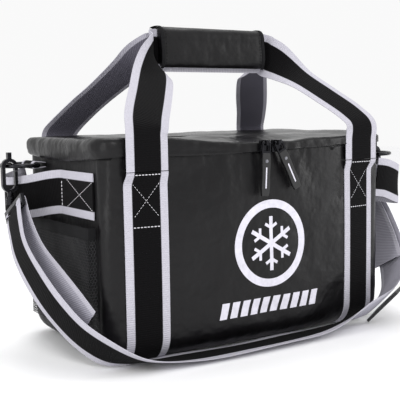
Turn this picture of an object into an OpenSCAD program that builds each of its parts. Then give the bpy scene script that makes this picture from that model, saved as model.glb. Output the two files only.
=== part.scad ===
// Soft-sided hockey equipment bag: padded box body, zip-round lid, two webbing
// carrying handles joined by a padded grip, end pockets and a clip-on shoulder strap.
// The origin is the middle of the base; +X runs along the front, +Y to the back, +Z up.

/* [Body] */
// Length of the body between its end seams
body_l = 396; // [380:1:410]
// Depth of the body at its corners
body_d = 212; // [208:1:216]
// Height of the body up to the lid seam
body_h = 227; // [222:1:232]
// How far the filled front panel bulges at its middle
front_bulge = 14; // [8:1:16]
// Radius of the upright corners
corner_r = 18; // [14:1:22]
// Radius of the rounded bottom edges
base_r = 30; // [26:1:32]
// Thickness of the coated outer panels
panel_t = 3; // [2:0.5:3]
// Thickness of the foam behind the panels
foam_t = 8; // [5:1:8]

/* [Lid] */
// Height of the lid from its seam to its top
lid_h = 17; // [15:1:20]
// How far the lid stands out over the body
lid_lip = 3; // [2:0.5:3]

/* [Webbing] */
// Width of the webbing
web_w = 50; // [48:1:52]
// Thickness of the webbing
web_t = 2; // [1.5:0.25:2]
// Distance of the handle legs from the middle of the bag
leg_x = 152; // [146:1:156]
// Height of the upper stitch line, above which the handles are free
stitch_z = 210; // [206:1:212]

/* [Grip] */
// Length of the padded grip
grip_l = 150; // [130:1:150]
// Height of the padded grip
grip_h = 49; // [44:1:50]
// Height of the middle of the grip
grip_z = 349; // [346:1:352]

/* [Hidden] */

half_l = body_l / 2;
half_d = body_d / 2;
face_gap = 0.3;
panel_top = body_h - 3;
split_y = half_d - corner_r;
lid_z = body_h + 1;
lid_top = lid_z + lid_h;
lid_skin = 2.5;
front_mid = half_d + front_bulge;
handle_front_y = -(half_d + front_bulge - 1.5);
handle_back_y = half_d + lid_lip + 1.4;
grip_x = -2;
grip_y = -8;

// ---------- outlines ----------

// Front edge of the plan, seen from above, at a distance e outside the body
function front_y(x, e) = -(half_d + e + front_bulge * (1 - pow(x / half_l, 2)));

function arc(cx, cy, r, a0, a1, n) =
    [for (i = [0:n]) let (a = a0 + (a1 - a0) * i / n) [cx + r * cos(a), cy + r * sin(a)]];

// Plan outline of the bag, e outside the body (negative is inside)
function plan(e) =
    let (r = max(corner_r + e, 5), cx = half_l + e - r, cy = half_d + e - r, n = 16)
    concat([for (i = [0:n]) let (x = -cx + 2 * cx * i / n) [x, front_y(x, e)]],
           arc(cx, -cy, r, -80, 0, 4), arc(cx, cy, r, 0, 90, 4),
           arc(-cx, cy, r, 90, 180, 4), arc(-cx, -cy, r, 180, 260, 4));

module prism(e, z0, z1) {
    translate([0, 0, z0]) linear_extrude(z1 - z0) polygon(plan(e));
}

// Upright wall between the outlines at e0 (inner) and e1 (outer)
module wall(e0, e1, z0, z1) {
    difference() {
        prism(e1, z0, z1);
        prism(e0, z0 - 1, z1 + 1);
    }
}

module box(low, high) {
    translate(low) cube(high - low);
}

// The front, back, left or right stretch of whatever it is given
module stretch(side) {
    big = 400;
    intersection() {
        children();
        if (side == "front") box([-big, -big, -1], [big, -split_y, big]);
        if (side == "back") box([-big, split_y, -1], [big, big, big]);
        if (side == "left") box([-big, -split_y, -1], [0, split_y, big]);
        if (side == "right") box([0, -split_y, -1], [big, split_y, big]);
    }
}

// Rounded tray below the walls
module bowl(e) {
    steps = 5;
    hull() for (i = [0:steps]) {
        a = 90 * i / steps;
        z = base_r * (1 - sin(a));
        prism(e - base_r * (1 - cos(a)), z, z + 0.01);
    }
}

// ---------- swept flat webbing ----------

function unit(v) = v / norm(v);

// Catmull-Rom point between rows b and c of a route
function between(a, b, c, d, t) =
    0.5 * ((2 * b) + (c - a) * t + (2 * a - 5 * b + 4 * c - d) * t * t
    + (3 * b - a - 3 * c + d) * t * t * t);

// A route of [point, direction across] rows, with n steps between the rows
function smooth(rows, n) =
    let (m = len(rows) - 1)
    concat([for (i = [0:m - 1], k = [0:n - 1])
        let (a = rows[max(i - 1, 0)], b = rows[i], c = rows[i + 1], d = rows[min(i + 2, m)])
        [for (j = [0, 1]) between(a[j], b[j], c[j], d[j], k / n)]], [rows[m]]);

// Corners of the webbing's section at row i of a route
function section(rows, i, w, t) =
    let (m = len(rows) - 1,
         along = unit(rows[min(i + 1, m)][0] - rows[max(i - 1, 0)][0]),
         raw = rows[i][1],
         across = unit(raw - (raw * along) * along),
         up = cross(along, across))
    [for (s = [[-1, -1], [1, -1], [1, 1], [-1, 1]])
        rows[i][0] + across * s[0] * w / 2 + up * s[1] * t / 2];

module webbing(rows, w, t) {
    m = len(rows) - 1;
    pts = [for (i = [0:m]) each section(rows, i, w, t)];
    sides = [for (i = [0:m - 1], s = [0:3])
        let (a = 4 * i + s, b = 4 * i + (s + 1) % 4) each [[a, b, b + 4], [a, b + 4, a + 4]]];
    ends = [[3, 2, 1], [3, 1, 0], [4 * m, 4 * m + 1, 4 * m + 2], [4 * m, 4 * m + 2, 4 * m + 3]];
    polyhedron(pts, [for (f = concat(sides, ends)) [f[2], f[1], f[0]]]);
}

// ---------- body ----------

module front_panel() {
    color("#2b292c") stretch("front") wall(-panel_t, 0, base_r + 0.05, panel_top);
}

module back_panel() {
    color("#2b292c") stretch("back") wall(-panel_t, 0, base_r + 0.05, panel_top);
}

module end_panel_left() {
    color("#242326") stretch("left") wall(-panel_t, 0, base_r, panel_top);
}

module end_panel_right() {
    color("#242326") stretch("right") wall(-panel_t, 0, base_r, panel_top);
}

module base_panel() {
    color("#1d1c1f") difference() {
        bowl(0);
        translate([0, 0, panel_t]) bowl(-panel_t);
    }
}

module base_board() {
    color("#8a8a8a") prism(-base_r - 5, panel_t, 2 * panel_t);
}

module base_foam() {
    color("#d0d0d0") prism(-24, 2 * panel_t, 13);
}

module foam(side) {
    color("#d0d0d0") stretch(side) wall(-panel_t - foam_t, -panel_t, base_r, panel_top - 2);
}

module foam_front() {
    foam("front");
}

module foam_back() {
    foam("back");
}

module foam_left() {
    foam("left");
}

module foam_right() {
    foam("right");
}

module lining() {
    skin = 1;
    e = -panel_t - foam_t;
    color("#6c6c70") difference() {
        prism(e, 13, panel_top - 2);
        prism(e - skin, 13 + skin, panel_top);
    }
}

// Lower half of the zip with its coil, on three sides of the rim
module zipper_tape_body() {
    color("#0f0f10") difference() {
        union() {
            wall(-2.5, -0.5, panel_top, body_h + 0.5);
            wall(-0.6, 1.2, body_h - 2.6, body_h + 0.4);
        }
        box([-half_l - 9, half_d - 8, 0], [half_l + 9, half_d + 9, 400]);
    }
}

// Fabric strip that hinges the lid along the back
module hinge_tape() {
    half_w = leg_x - web_w / 2 - 2;
    color("#1d1c1f") box([-half_w, half_d, stitch_z + 4], [half_w, half_d + 1.2, body_h + 0.6]);
}

// ---------- lid ----------

module lid_panel() {
    color("#2b292c") difference() {
        prism(lid_lip, lid_z, lid_top);
        prism(lid_lip - lid_skin, lid_z - 1, lid_top - lid_skin);
    }
}

module lid_foam() {
    color("#d0d0d0") prism(lid_lip - lid_skin - face_gap, lid_z + 4, lid_top - lid_skin);
}

module lid_lining() {
    color("#6c6c70") prism(lid_lip - lid_skin - face_gap, lid_z + 3, lid_z + 4);
}

// Upper half of the zip, inside the skirt of the lid
module zipper_tape_lid() {
    color("#0f0f10") difference() {
        wall(-2.5, lid_lip - lid_skin - face_gap, lid_z, lid_z + 3);
        box([-half_l - 9, half_d - 8, 0], [half_l + 9, half_d + 9, 400]);
    }
}

// ---------- sewn webbing and handles ----------

// Webbing sewn to the front or back face, following the rounded bottom edge
module sewn_leg(side, front) {
    x = side * leg_x;
    far = front ? -200 : 20;
    near = front ? -20 : 200;
    color("#161517") intersection() {
        union() {
            wall(0, web_t, base_r, stitch_z - 1);
            difference() {
                bowl(web_t);
                bowl(0);
            }
        }
        box([x - web_w / 2, far, 3], [x + web_w / 2, near, stitch_z]);
    }
}

module front_webbing_left() {
    sewn_leg(-1, true);
}

module front_webbing_right() {
    sewn_leg(1, true);
}

module back_webbing_left() {
    sewn_leg(-1, false);
}

module back_webbing_right() {
    sewn_leg(1, false);
}

// Front handle: up beside the lid, then over to the grip
front_strap_y = grip_y - 5;
front_handle_route = [
    [[-leg_x, handle_front_y, stitch_z + 1], [1, 0, 0]],
    [[-leg_x, handle_front_y, 234], [1, 0, 0]],
    [[-leg_x, handle_front_y, 254], [1, 0, 0]],
    [[-144, -106, 270], [0.96, -0.12, -0.15]],
    [[-126, -82, 291], [0.9, -0.22, -0.25]],
    [[-108, -57, 312], [0.87, -0.25, -0.35]],
    [[-94, -37, 329], [0.6, -0.15, -0.75]],
    [[-87, -21, 340], [0.1, -0.03, -0.98]],
    [[grip_x - 80, front_strap_y - 0.1, grip_z - 3.7], [0, 0, -1]],
    [[grip_x - 66, front_strap_y, grip_z - 3.5], [0, 0, -1]],
    [[grip_x, front_strap_y, grip_z - 3.5], [0, 0, -1]],
    [[grip_x + 66, front_strap_y, grip_z - 3.5], [0, 0, -1]],
    [[grip_x + 80, front_strap_y - 0.1, grip_z - 3.7], [0, 0, -1]],
    [[83, -21, 340], [-0.1, -0.03, -0.98]],
    [[92, -37, 329], [-0.6, -0.15, -0.75]],
    [[107, -57, 312], [-0.87, -0.25, -0.35]],
    [[126, -82, 291], [-0.9, -0.22, -0.25]],
    [[144, -106, 270], [-0.96, -0.12, -0.15]],
    [[leg_x, handle_front_y, 254], [-1, 0, 0]],
    [[leg_x, handle_front_y, 234], [-1, 0, 0]],
    [[leg_x, handle_front_y, stitch_z + 1], [-1, 0, 0]]];

module handle_front() {
    color("#161517") webbing(smooth(front_handle_route, 3), web_w - 3, web_t);
}

// Back handle: straight from the edge of the lid to the grip
back_strap_y = grip_y + 6;
back_handle_route = [
    [[-leg_x, handle_back_y, stitch_z + 1], [1, 0, 0]],
    [[-leg_x, handle_back_y, 234], [1, 0, 0]],
    [[-150, handle_back_y, 250], [1, 0, -0.05]],
    [[-133, 84, 277], [0.9, 0.25, -0.25]],
    [[-114, 57, 301], [0.88, 0.32, -0.32]],
    [[-95, 29, 325], [0.75, 0.3, -0.55]],
    [[-84, 11, 338], [0.3, 0.1, -0.93]],
    [[grip_x - 74, back_strap_y + 2, grip_z - 4], [0, 0, -1]],
    [[grip_x - 64, back_strap_y, grip_z - 3.5], [0, 0, -1]],
    [[grip_x, back_strap_y, grip_z - 3.5], [0, 0, -1]],
    [[grip_x + 64, back_strap_y, grip_z - 3.5], [0, 0, -1]],
    [[grip_x + 74, back_strap_y + 2, grip_z - 4], [0, 0, -1]],
    [[80, 11, 338], [-0.3, 0.1, -0.93]],
    [[93, 29, 325], [-0.75, 0.3, -0.55]],
    [[113, 57, 301], [-0.88, 0.32, -0.32]],
    [[133, 84, 277], [-0.9, 0.25, -0.25]],
    [[150, handle_back_y, 250], [-1, 0, -0.05]],
    [[leg_x, handle_back_y, 234], [-1, 0, 0]],
    [[leg_x, handle_back_y, stitch_z + 1], [-1, 0, 0]]];

module handle_back() {
    color("#161517") webbing(smooth(back_handle_route, 3), web_w - 4, web_t);
}

// Padded wrap on the front handle, open at the back so that the back handle can leave it
module grip_wrap() {
    x0 = grip_x - grip_l / 2;
    x1 = grip_x + grip_l / 2;
    top = grip_z + grip_h / 2;
    roof = 3.5;
    inner_y = front_strap_y - web_t / 2 - face_gap;
    color("#1d1c1f") union() {
        box([x0, inner_y - 11, top - grip_h], [x1, inner_y, top - 3]);
        box([x0, inner_y - 7, top - 3], [x1, back_strap_y + 6, top + roof - 3]);
    }
}

// ---------- zip sliders and pulls ----------

slider_x = [-4, 13];
slider_w = 14;
slider_z = 232;
slider_face = -(front_mid + lid_lip + 1.6);
pull_axis_z = slider_z + 4;
pull_y = slider_face - 5;
pull_tilt = [3, -27];
bridge_w = 1.8;
pin_r = 1.3;

module zip_slider(i) {
    x = slider_x[i];
    color("#3c3c40") difference() {
        union() {
            box([x - slider_w / 2, slider_face - 2.6, slider_z - 7],
                [x + slider_w / 2, slider_face, slider_z + 7]);
            box([x - bridge_w, slider_face - 8, pull_axis_z - 3],
                [x + bridge_w, slider_face - 2.6, pull_axis_z + 3]);
        }
        translate([x - 9, pull_y, pull_axis_z]) rotate([0, 90, 0])
            cylinder(r = pin_r + 0.5, h = 18, $fn = 24);
    }
}

module zip_slider_left() {
    zip_slider(0);
}

module zip_slider_right() {
    zip_slider(1);
}

// Places a pull in its own upright frame, hung from the slider's bridge
module hang_pull(i) {
    translate([slider_x[i], pull_y, pull_axis_z]) rotate([0, pull_tilt[i], 0]) children();
}

module pull_tongue(i) {
    color("#4a4a4e") union() {
        translate([slider_x[i] - 5, pull_y, pull_axis_z]) rotate([0, 90, 0])
            cylinder(r = pin_r, h = 10, $fn = 24);
        intersection() {
            hang_pull(i) difference() {
                box([-6, -0.8, -17], [6, 0.8, 0.8]);
                box([-4.2, -2, -9.5], [4.2, 2, 2]);
            }
            box([-60, -200, 0], [60, 0, pull_axis_z + pin_r + 0.3]);
        }
    }
}

module pull_tongue_left() {
    pull_tongue(0);
}

module pull_tongue_right() {
    pull_tongue(1);
}

module pull_tab(i) {
    color("#17171a") hang_pull(i) difference() {
        box([-6.5, -2.2, -61], [6.5, 2.2, -11.5]);
        box([-6.1, -0.9, -17.1], [6.1, 0.9, -10]);
    }
}

module pull_tab_left() {
    pull_tab(0);
}

module pull_tab_right() {
    pull_tab(1);
}

// ---------- end bands, rings and pockets ----------

// Both ends carry the same set of pieces, the right one turned half a turn
module at_end(side) {
    rotate([0, 0, side < 0 ? 0 : 180]) children();
}

band_x = -(half_l + web_t / 2 + face_gap);
band_z = 184;
// The right band is bowed out further than the left one
function end_band_route(bow) = [
    [[band_x, -84, band_z], [0, 0, 1]],
    [[band_x, -40, band_z], [0, 0, 1]],
    [[band_x, -12, band_z], [0, 0, 1]],
    [[band_x - 1, 2, band_z], [0, 0, 1]],
    [[band_x - 8, 18, band_z - 2], [0, 0, 1]],
    [[-222 + bow * 0.6, 42, band_z - 7], [0, 0, 1]],
    [[-237 - bow, 66 + bow, band_z - 10 - bow * 0.4], [0, 0, 1]],
    [[-235 - bow, 84 + bow * 0.6, band_z - 8 - bow * 0.4], [0, 0, 1]],
    [[-215 - bow * 0.5, 93 + bow * 0.3, band_z - 3], [0, 0, 1]],
    [[band_x - 2, 96, band_z], [0, 0, 1]]];

module end_band(side) {
    color("#161517") at_end(side) webbing(smooth(end_band_route(side < 0 ? 0 : 10), 3), web_w, web_t);
}

module end_band_left() {
    end_band(-1);
}

module end_band_right() {
    end_band(1);
}

ring_z = 213;
ring_y = 64;
ring_half = 27;
ring_reach = 36;
ring_wire = 5;
ring_x = -half_l - 12.4;

// Webbing tab that holds the straight bar of the D-ring
module ring_tab(side) {
    x = -half_l;
    color("#161517") at_end(side) difference() {
        box([x - 16.5, ring_y - 18, ring_z - 5], [x, ring_y + 18, ring_z + 5]);
        box([x - 15.3, ring_y - 20, ring_z - 2.8], [x - 9, ring_y + 20, ring_z + 2.8]);
    }
}

module ring_tab_left() {
    ring_tab(-1);
}

module ring_tab_right() {
    ring_tab(1);
}

module d_ring(side) {
    r = ring_half - ring_wire / 2;
    color("#202024") at_end(side) translate([ring_x, ring_y, ring_z]) {
        rotate([90, 0, 0]) translate([0, 0, -r]) cylinder(r = ring_wire / 2, h = 2 * r, $fn = 24);
        for (s = [-1, 1]) translate([0, s * r, 0]) rotate([0, -90, 0])
            cylinder(r = ring_wire / 2, h = ring_reach - r, $fn = 24);
        translate([r - ring_reach, 0, 0]) intersection() {
            rotate_extrude($fn = 48) translate([r, 0]) circle(r = ring_wire / 2, $fn = 20);
            box([-60, -60, -9], [0, 60, 9]);
        }
    }
}

module d_ring_left() {
    d_ring(-1);
}

module d_ring_right() {
    d_ring(1);
}

pocket_top = 138;
pocket_gap = 9;

// Mesh pocket: a face and two gusset ends standing off the end panel
module pocket_mesh(side) {
    x = -half_l;
    color("#101012") at_end(side) difference() {
        box([x - pocket_gap, -split_y + 4, base_r], [x, split_y - 4, pocket_top]);
        box([x - pocket_gap + 1.5, -split_y + 6, base_r + 2], [x + 1, split_y - 6, pocket_top + 1]);
    }
}

module pocket_mesh_left() {
    pocket_mesh(-1);
}

module pocket_mesh_right() {
    pocket_mesh(1);
}

module pocket_binding(side) {
    x = -half_l;
    color("#1a1a1c") at_end(side) difference() {
        box([x - pocket_gap - 0.5, -split_y + 3, pocket_top], [x, split_y - 3, pocket_top + 13]);
        box([x - pocket_gap + 1.5, -split_y + 6, pocket_top - 1],
            [x + 1, split_y - 6, pocket_top + 14]);
    }
}

module pocket_binding_left() {
    pocket_binding(-1);
}

module pocket_binding_right() {
    pocket_binding(1);
}

// ---------- strap hardware ----------

hook_x = ring_x - 31.6;
hook_y = ring_y - 14;
hook_top = ring_z + 9;
hook_len = 40;
hook_w = 19;
hook_wire = 4;
loop_tilt = 27;
loop_y = 36;
loop_z = [162.6, 148];

// Closed link of round-ended outline in the XZ plane
module link(w, h, hole, thick) {
    r = w / 2;
    rotate([90, 0, 0]) linear_extrude(thick, center = true) difference() {
        union() {
            for (z = [r, h - r]) translate([0, z]) circle(r, $fn = 40);
            translate([-r, r]) square([w, h - w]);
        }
        union() {
            for (z = [r, h - r]) translate([0, z]) circle(hole / 2, $fn = 40);
            translate([-hole / 2, r]) square([hole, h - w]);
        }
    }
}

gate_z0 = hook_top - hook_len + 8;
gate_len = 17;

// Hook body: the link less the stretch of its inner leg that the gate closes
module snap_hook(side) {
    color("#2a2a2e") at_end(side) translate([hook_x, hook_y, hook_top - hook_len]) difference() {
        union() {
            link(hook_w, hook_len, hook_w - 2 * hook_wire, 6);
            translate([-2.3, -3, hook_len - 1]) cube([4.6, 6, 8]);
            translate([0, 0, -4.5]) cylinder(r = 3.4, h = 6, $fn = 32);
        }
        translate([hook_w / 2 - hook_wire - 0.3, -4, 7]) cube([9, 8, gate_len + 1.5]);
    }
}

module snap_hook_left() {
    snap_hook(-1);
}

module snap_hook_right() {
    snap_hook(1);
}

module hook_gate(side) {
    color("#5a5a60") at_end(side)
        translate([hook_x + hook_w / 2 - hook_wire + 0.3, hook_y - 2.5, gate_z0])
            cube([hook_wire - 0.6, 5, gate_len]);
}

module hook_gate_left() {
    hook_gate(-1);
}

module hook_gate_right() {
    hook_gate(1);
}

swivel_top = hook_top - hook_len - 4.6;

// Ribbed barrel that lets the hook turn on the strap loop
module swivel(side) {
    color("#2a2a2e") at_end(side) translate([hook_x, hook_y, swivel_top]) {
        translate([0, 0, -9]) cylinder(r = 4.6, h = 9, $fn = 32);
        for (k = [1:3]) translate([0, 0, -3 * k + 0.4]) cylinder(r = 5.4, h = 1.4, $fn = 32);
    }
}

module swivel_left() {
    swivel(-1);
}

module swivel_right() {
    swivel(1);
}

// Oblong loop that the strap passes round
module strap_loop(side) {
    z = side < 0 ? loop_z[0] : loop_z[1];
    color("#202024") at_end(side) translate([hook_x, loop_y, z]) rotate([side * loop_tilt, 0, 0])
        difference() {
            translate([-2, -31, -5]) cube([4, 62, 14]);
            translate([-3, -27, -1]) cube([6, 54, 5.5]);
        }
}

module strap_loop_left() {
    strap_loop(-1);
}

module strap_loop_right() {
    strap_loop(1);
}

// ---------- shoulder strap ----------

// [middle of the strap, direction across it] from the left loop to the right one
strap_route = [
    [[-246, 34, 162.2], [0, 44, -22]],
    [[-250, 18, 146], [0, 44, -22]],
    [[-252, -2, 122], [0, 44, -24]],
    [[-247, -28, 94], [0, 44, -26]],
    [[-238, -56, 66], [0, 42, -30]],
    [[-223, -86, 40], [0, 40, -32]],
    [[-202, -110, 22], [-2, 42, -30]],
    [[-176, -121, 11], [-2, 46, -16]],
    [[-148, -123, 6], [0, 50, -9]],
    [[-110, -125, 4], [0, 50, -5]],
    [[-50, -128, 4], [0, 50, -5]],
    [[0, -129, 4], [0, 50, -5]],
    [[50, -128, 5], [0, 50, -7]],
    [[80, -128, 7], [0, 49, -11]],
    [[110, -130, 12], [-1, 46, -19]],
    [[134, -135, 19], [-6, 40, -29]],
    [[157, -139, 27], [-12, 33, -35]],
    [[176, -134, 32], [-16, 30, -37]],
    [[196, -121, 36], [-16, 30, -37]],
    [[225, -106, 52], [-12, 35, -31]],
    [[242, -80, 87], [-4, 40, -26]],
    [[247, -56, 120], [0, 43, -24]],
    [[245.5, -34, 148], [0, 44, -22]]];

strap_steps = 3;

module shoulder_strap() {
    color("#161517") webbing(smooth(strap_route, strap_steps), web_w, 1.6);
}

// End of the strap folded back through the left loop and sewn down
fold_left_route = [
    [[-238, 34, 162.6], [0, 44, -22]],
    [[-240, 14, 144], [-2, 44, -22]],
    [[-238, -14, 116], [-4, 44, -24]],
    [[-230, -44, 89], [-6, 40, -28]],
    [[-221, -72, 65], [-6, 36, -34]],
    [[-214, -90, 48], [-6, 34, -36]]];

module strap_fold_left() {
    color("#a5a3ad") webbing(smooth(fold_left_route, strap_steps), web_w, 1.6);
}

// End of the strap that runs from the right loop to the buckle
fold_right_route = [
    [[238, -34, 148], [0, 44, -22]],
    [[239, -54, 121], [0, 43, -24]],
    [[234, -75, 93], [-4, 40, -26]],
    [[226, -92, 68], [-10, 38, -28]]];

module strap_fold_right() {
    color("#a5a3ad") webbing(smooth(fold_right_route, strap_steps), web_w, 1.6);
}

// Three-bar buckle on the strap
tri_at = 17;

module tri_glide() {
    along = unit(strap_route[tri_at + 1][0] - strap_route[tri_at - 1][0]);
    raw = strap_route[tri_at][1];
    across = unit(raw - (raw * along) * along);
    up = cross(along, across);
    at = strap_route[tri_at][0];
    color("#1c1c20") multmatrix([[across[0], along[0], -up[0], at[0]],
                                 [across[1], along[1], -up[1], at[1]],
                                 [across[2], along[2], -up[2], at[2]],
                                 [0, 0, 0, 1]])
        difference() {
            translate([-30, -17, 3.8]) cube([60, 34, 3.6]);
            for (s = [-1, 1]) translate([-26, s * 8 - 4.5, 0]) cube([52, 9, 9]);
        }
}

front_panel();
back_panel();
end_panel_left();
end_panel_right();
base_panel();
base_board();
base_foam();
foam_front();
foam_back();
foam_left();
foam_right();
lining();
zipper_tape_body();
hinge_tape();
lid_panel();
lid_foam();
lid_lining();
zipper_tape_lid();
front_webbing_left();
front_webbing_right();
back_webbing_left();
back_webbing_right();
handle_front();
grip_wrap();
handle_back();
zip_slider_left();
zip_slider_right();
pull_tongue_left();
pull_tongue_right();
pull_tab_left();
pull_tab_right();
end_band_left();
end_band_right();
ring_tab_left();
ring_tab_right();
d_ring_left();
d_ring_right();
pocket_mesh_left();
pocket_mesh_right();
pocket_binding_left();
pocket_binding_right();
snap_hook_left();
snap_hook_right();
hook_gate_left();
hook_gate_right();
swivel_left();
swivel_right();
strap_loop_left();
strap_loop_right();
shoulder_strap();
strap_fold_left();
strap_fold_right();
tri_glide();
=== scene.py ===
"""Looks for a soft-sided hockey equipment bag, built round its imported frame.

Lengths are metres in the frame's own axes: +X to the right along the front, +Y to the back, +Z up.
Each operator makes one piece or one group of like pieces; main() calls them in order.
"""

import math

import bmesh
import bpy
from mathutils import Matrix, Vector, noise


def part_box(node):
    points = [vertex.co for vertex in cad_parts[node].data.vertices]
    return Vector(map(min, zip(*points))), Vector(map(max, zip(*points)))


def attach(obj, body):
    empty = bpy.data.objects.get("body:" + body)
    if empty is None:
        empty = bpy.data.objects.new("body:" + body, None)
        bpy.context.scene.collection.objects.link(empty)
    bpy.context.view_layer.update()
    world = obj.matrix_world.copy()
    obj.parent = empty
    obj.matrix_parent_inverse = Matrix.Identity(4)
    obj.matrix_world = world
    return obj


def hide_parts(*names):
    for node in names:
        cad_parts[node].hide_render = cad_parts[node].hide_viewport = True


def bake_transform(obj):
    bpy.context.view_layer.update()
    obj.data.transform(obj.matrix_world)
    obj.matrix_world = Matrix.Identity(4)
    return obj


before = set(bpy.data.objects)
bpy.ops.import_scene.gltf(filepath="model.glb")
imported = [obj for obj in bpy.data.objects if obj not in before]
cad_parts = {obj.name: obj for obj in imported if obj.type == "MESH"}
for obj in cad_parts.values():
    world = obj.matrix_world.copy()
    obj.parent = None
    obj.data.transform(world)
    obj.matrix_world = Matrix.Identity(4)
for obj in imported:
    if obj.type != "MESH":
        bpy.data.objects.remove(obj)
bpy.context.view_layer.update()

bl_info = {
    "name": "Hockey equipment bag",
    "version": (1, 0, 0),
    "blender": (4, 5, 0),
    "location": "3D View > Sidebar > Bag",
    "description": "Models the covers, webbing, fittings and strap of a hockey equipment bag",
    "category": "Object",
}

MM = 0.001

# ---------- places taken from the frame ----------


def low(node):
    """Lowest corner of a node of the frame."""
    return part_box(node)[0]


def high(node):
    """Highest corner of a node of the frame."""
    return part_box(node)[1]


HALF_L = high("end_panel_right").x
HALF_D = high("back_panel").y
BULGE = -low("front_panel").y - HALF_D
CORNER_R = HALF_D + low("end_panel_left").y
BASE_R = low("end_panel_left").z
RIM_Z = high("zipper_tape_body").z - 0.4 * MM
LID_Z = low("lid_panel").z
LID_TOP = high("lid_panel").z
LIP = high("lid_panel").y - HALF_D
STITCH_Z = high("front_webbing_left").z
LEG_X = (low("front_webbing_right").x + high("front_webbing_right").x) / 2
WEB_W = high("front_webbing_right").x - low("front_webbing_right").x
HANDLE_FRONT_Y = -0.1185
HANDLE_BACK_Y = 0.1104
GRIP_LOW = low("grip_wrap")
GRIP_HIGH = high("grip_wrap")
LOWER_STITCH_Z = STITCH_Z - 58 * MM
COVER_T = 2.2 * MM
BASE_COVER_T = 2 * MM
LID_COVER_T = 1.8 * MM
LINING_T = 0.8 * MM
WALL_STEP = 4.6 * MM
WALL_TURN_N = 10
QUILT_DEEP = 1.2 * MM
QUILT_PITCH = 50 * MM
PULL_AXIS_Z = 236 * MM
PULL_TAB_SIZE = (12.4 * MM, 4.2 * MM, 49 * MM)
PULL_LINE_SIZE = (1.9 * MM, 1.0 * MM, 24 * MM)
TOOTH_FACES = ((0, 1, 2, 3), (7, 6, 5, 4), (0, 4, 5, 1), (1, 5, 6, 2), (2, 6, 7, 3), (3, 7, 4, 0))

# ---------- small tools ----------


def pick(*pieces):
    """Selects only these pieces and makes the last one active."""
    bpy.ops.object.select_all(action="DESELECT")
    for piece in pieces:
        piece.select_set(True)
        bpy.context.view_layer.objects.active = piece


def smoothstep(low_edge, high_edge, value):
    t = min(1.0, max(0.0, (value - low_edge) / (high_edge - low_edge)))
    return t * t * (3 - 2 * t)


def mix(a, b, t):
    return a + (b - a) * t


def modify(piece, kind, **settings):
    """Adds a modifier to a piece and applies it."""
    pick(piece)
    modifier = piece.modifiers.new(kind.lower(), kind)
    for key, value in settings.items():
        setattr(modifier, key, value)
    bpy.ops.object.modifier_apply(modifier=modifier.name)


def mesh_piece(name, points, faces, uvs=None, face_slots=None):
    """A mesh object from points and faces, with one UV per point."""
    mesh = bpy.data.meshes.new(name)
    mesh.from_pydata([tuple(p) for p in points], [], faces)
    if uvs:
        layer = mesh.uv_layers.new(name="UVMap")
        for loop in mesh.loops:
            layer.data[loop.index].uv = uvs[loop.vertex_index]
    if face_slots:
        mesh.polygons.foreach_set("material_index", face_slots)
    piece = bpy.data.objects.new(name, mesh)
    bpy.context.scene.collection.objects.link(piece)
    return piece


def grid_faces(rows, columns, closed=False, flip=False):
    """Faces of a grid of points that runs row by row."""
    last = columns if closed else columns - 1
    faces = [
        (r * columns + c, r * columns + (c + 1) % columns,
         (r + 1) * columns + (c + 1) % columns, (r + 1) * columns + c)
        for r in range(rows - 1) for c in range(last)
    ]
    return [tuple(reversed(face)) for face in faces] if flip else faces


def primitive(name, add, **settings):
    """A primitive, alone in the selection, with its place in its mesh."""
    bpy.ops.object.select_all(action="DESELECT")
    add(**settings)
    piece = bpy.context.object
    piece.name = name
    bpy.ops.object.transform_apply(location=True, rotation=True, scale=True)
    return piece


def outward(piece):
    """Turns every face of a closed piece outwards."""
    work = bmesh.new()
    work.from_mesh(piece.data)
    bmesh.ops.recalc_face_normals(work, faces=work.faces)
    work.to_mesh(piece.data)
    work.free()


def finish_piece(piece, body, materials, replaced=(), angle=40):
    """Shades a piece, gives it its materials and puts it on its body."""
    for material in materials:
        piece.data.materials.append(material)
    pick(piece)
    bpy.ops.object.shade_smooth_by_angle(angle=math.radians(angle))
    if body:
        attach(piece, body)
    if replaced:
        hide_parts(*replaced)
    return piece


# ---------- plan of the bag ----------

FRONT_N, CORNER_N, END_N, BACK_N = 96, 8, 40, 64
RIGHT_CORNER = FRONT_N
RIGHT_END = RIGHT_CORNER + CORNER_N
BACK_RIGHT = RIGHT_END + END_N
BACK = BACK_RIGHT + CORNER_N
BACK_LEFT = BACK + BACK_N
LEFT_END = BACK_LEFT + CORNER_N
LEFT_CORNER = LEFT_END + END_N
PLAN_N = LEFT_CORNER + CORNER_N


def front_line(x, e=0.0):
    """Y of the filled front at x, e outside the body."""
    return -(HALF_D + e + BULGE * (1 - (x / HALF_L) ** 2))


def plan(e):
    """Points of the plan, e outside the body, anticlockwise from the front's left end."""
    r = max(CORNER_R + e, 5 * MM)
    cx = HALF_L + e - r
    cy = HALF_D + e - r
    points = [(-cx + 2 * cx * i / FRONT_N, front_line(-cx + 2 * cx * i / FRONT_N, e))
              for i in range(FRONT_N)]

    def corner(x, y, start):
        for i in range(CORNER_N):
            a = math.radians(start + 90 * i / CORNER_N)
            px, py = x + r * math.cos(a), y + r * math.sin(a)
            if y < 0:
                py -= BULGE * (1 - (x / HALF_L) ** 2) * math.sin(a) ** 2
            points.append((px, py))

    corner(cx, -cy, -90)
    points.extend((HALF_L + e, -cy + 2 * cy * i / END_N) for i in range(END_N))
    corner(cx, cy, 0)
    points.extend((cx - 2 * cx * i / BACK_N, HALF_D + e) for i in range(BACK_N))
    corner(-cx, cy, 90)
    points.extend((-HALF_L - e, cy - 2 * cy * i / END_N) for i in range(END_N))
    corner(-cx, -cy, 180)
    return points


def ripple(x, y, z, size):
    """Smooth noise from -1 to 1 whose bumps are about size across."""
    return noise.noise(Vector((x, y, z)) / size)


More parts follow.
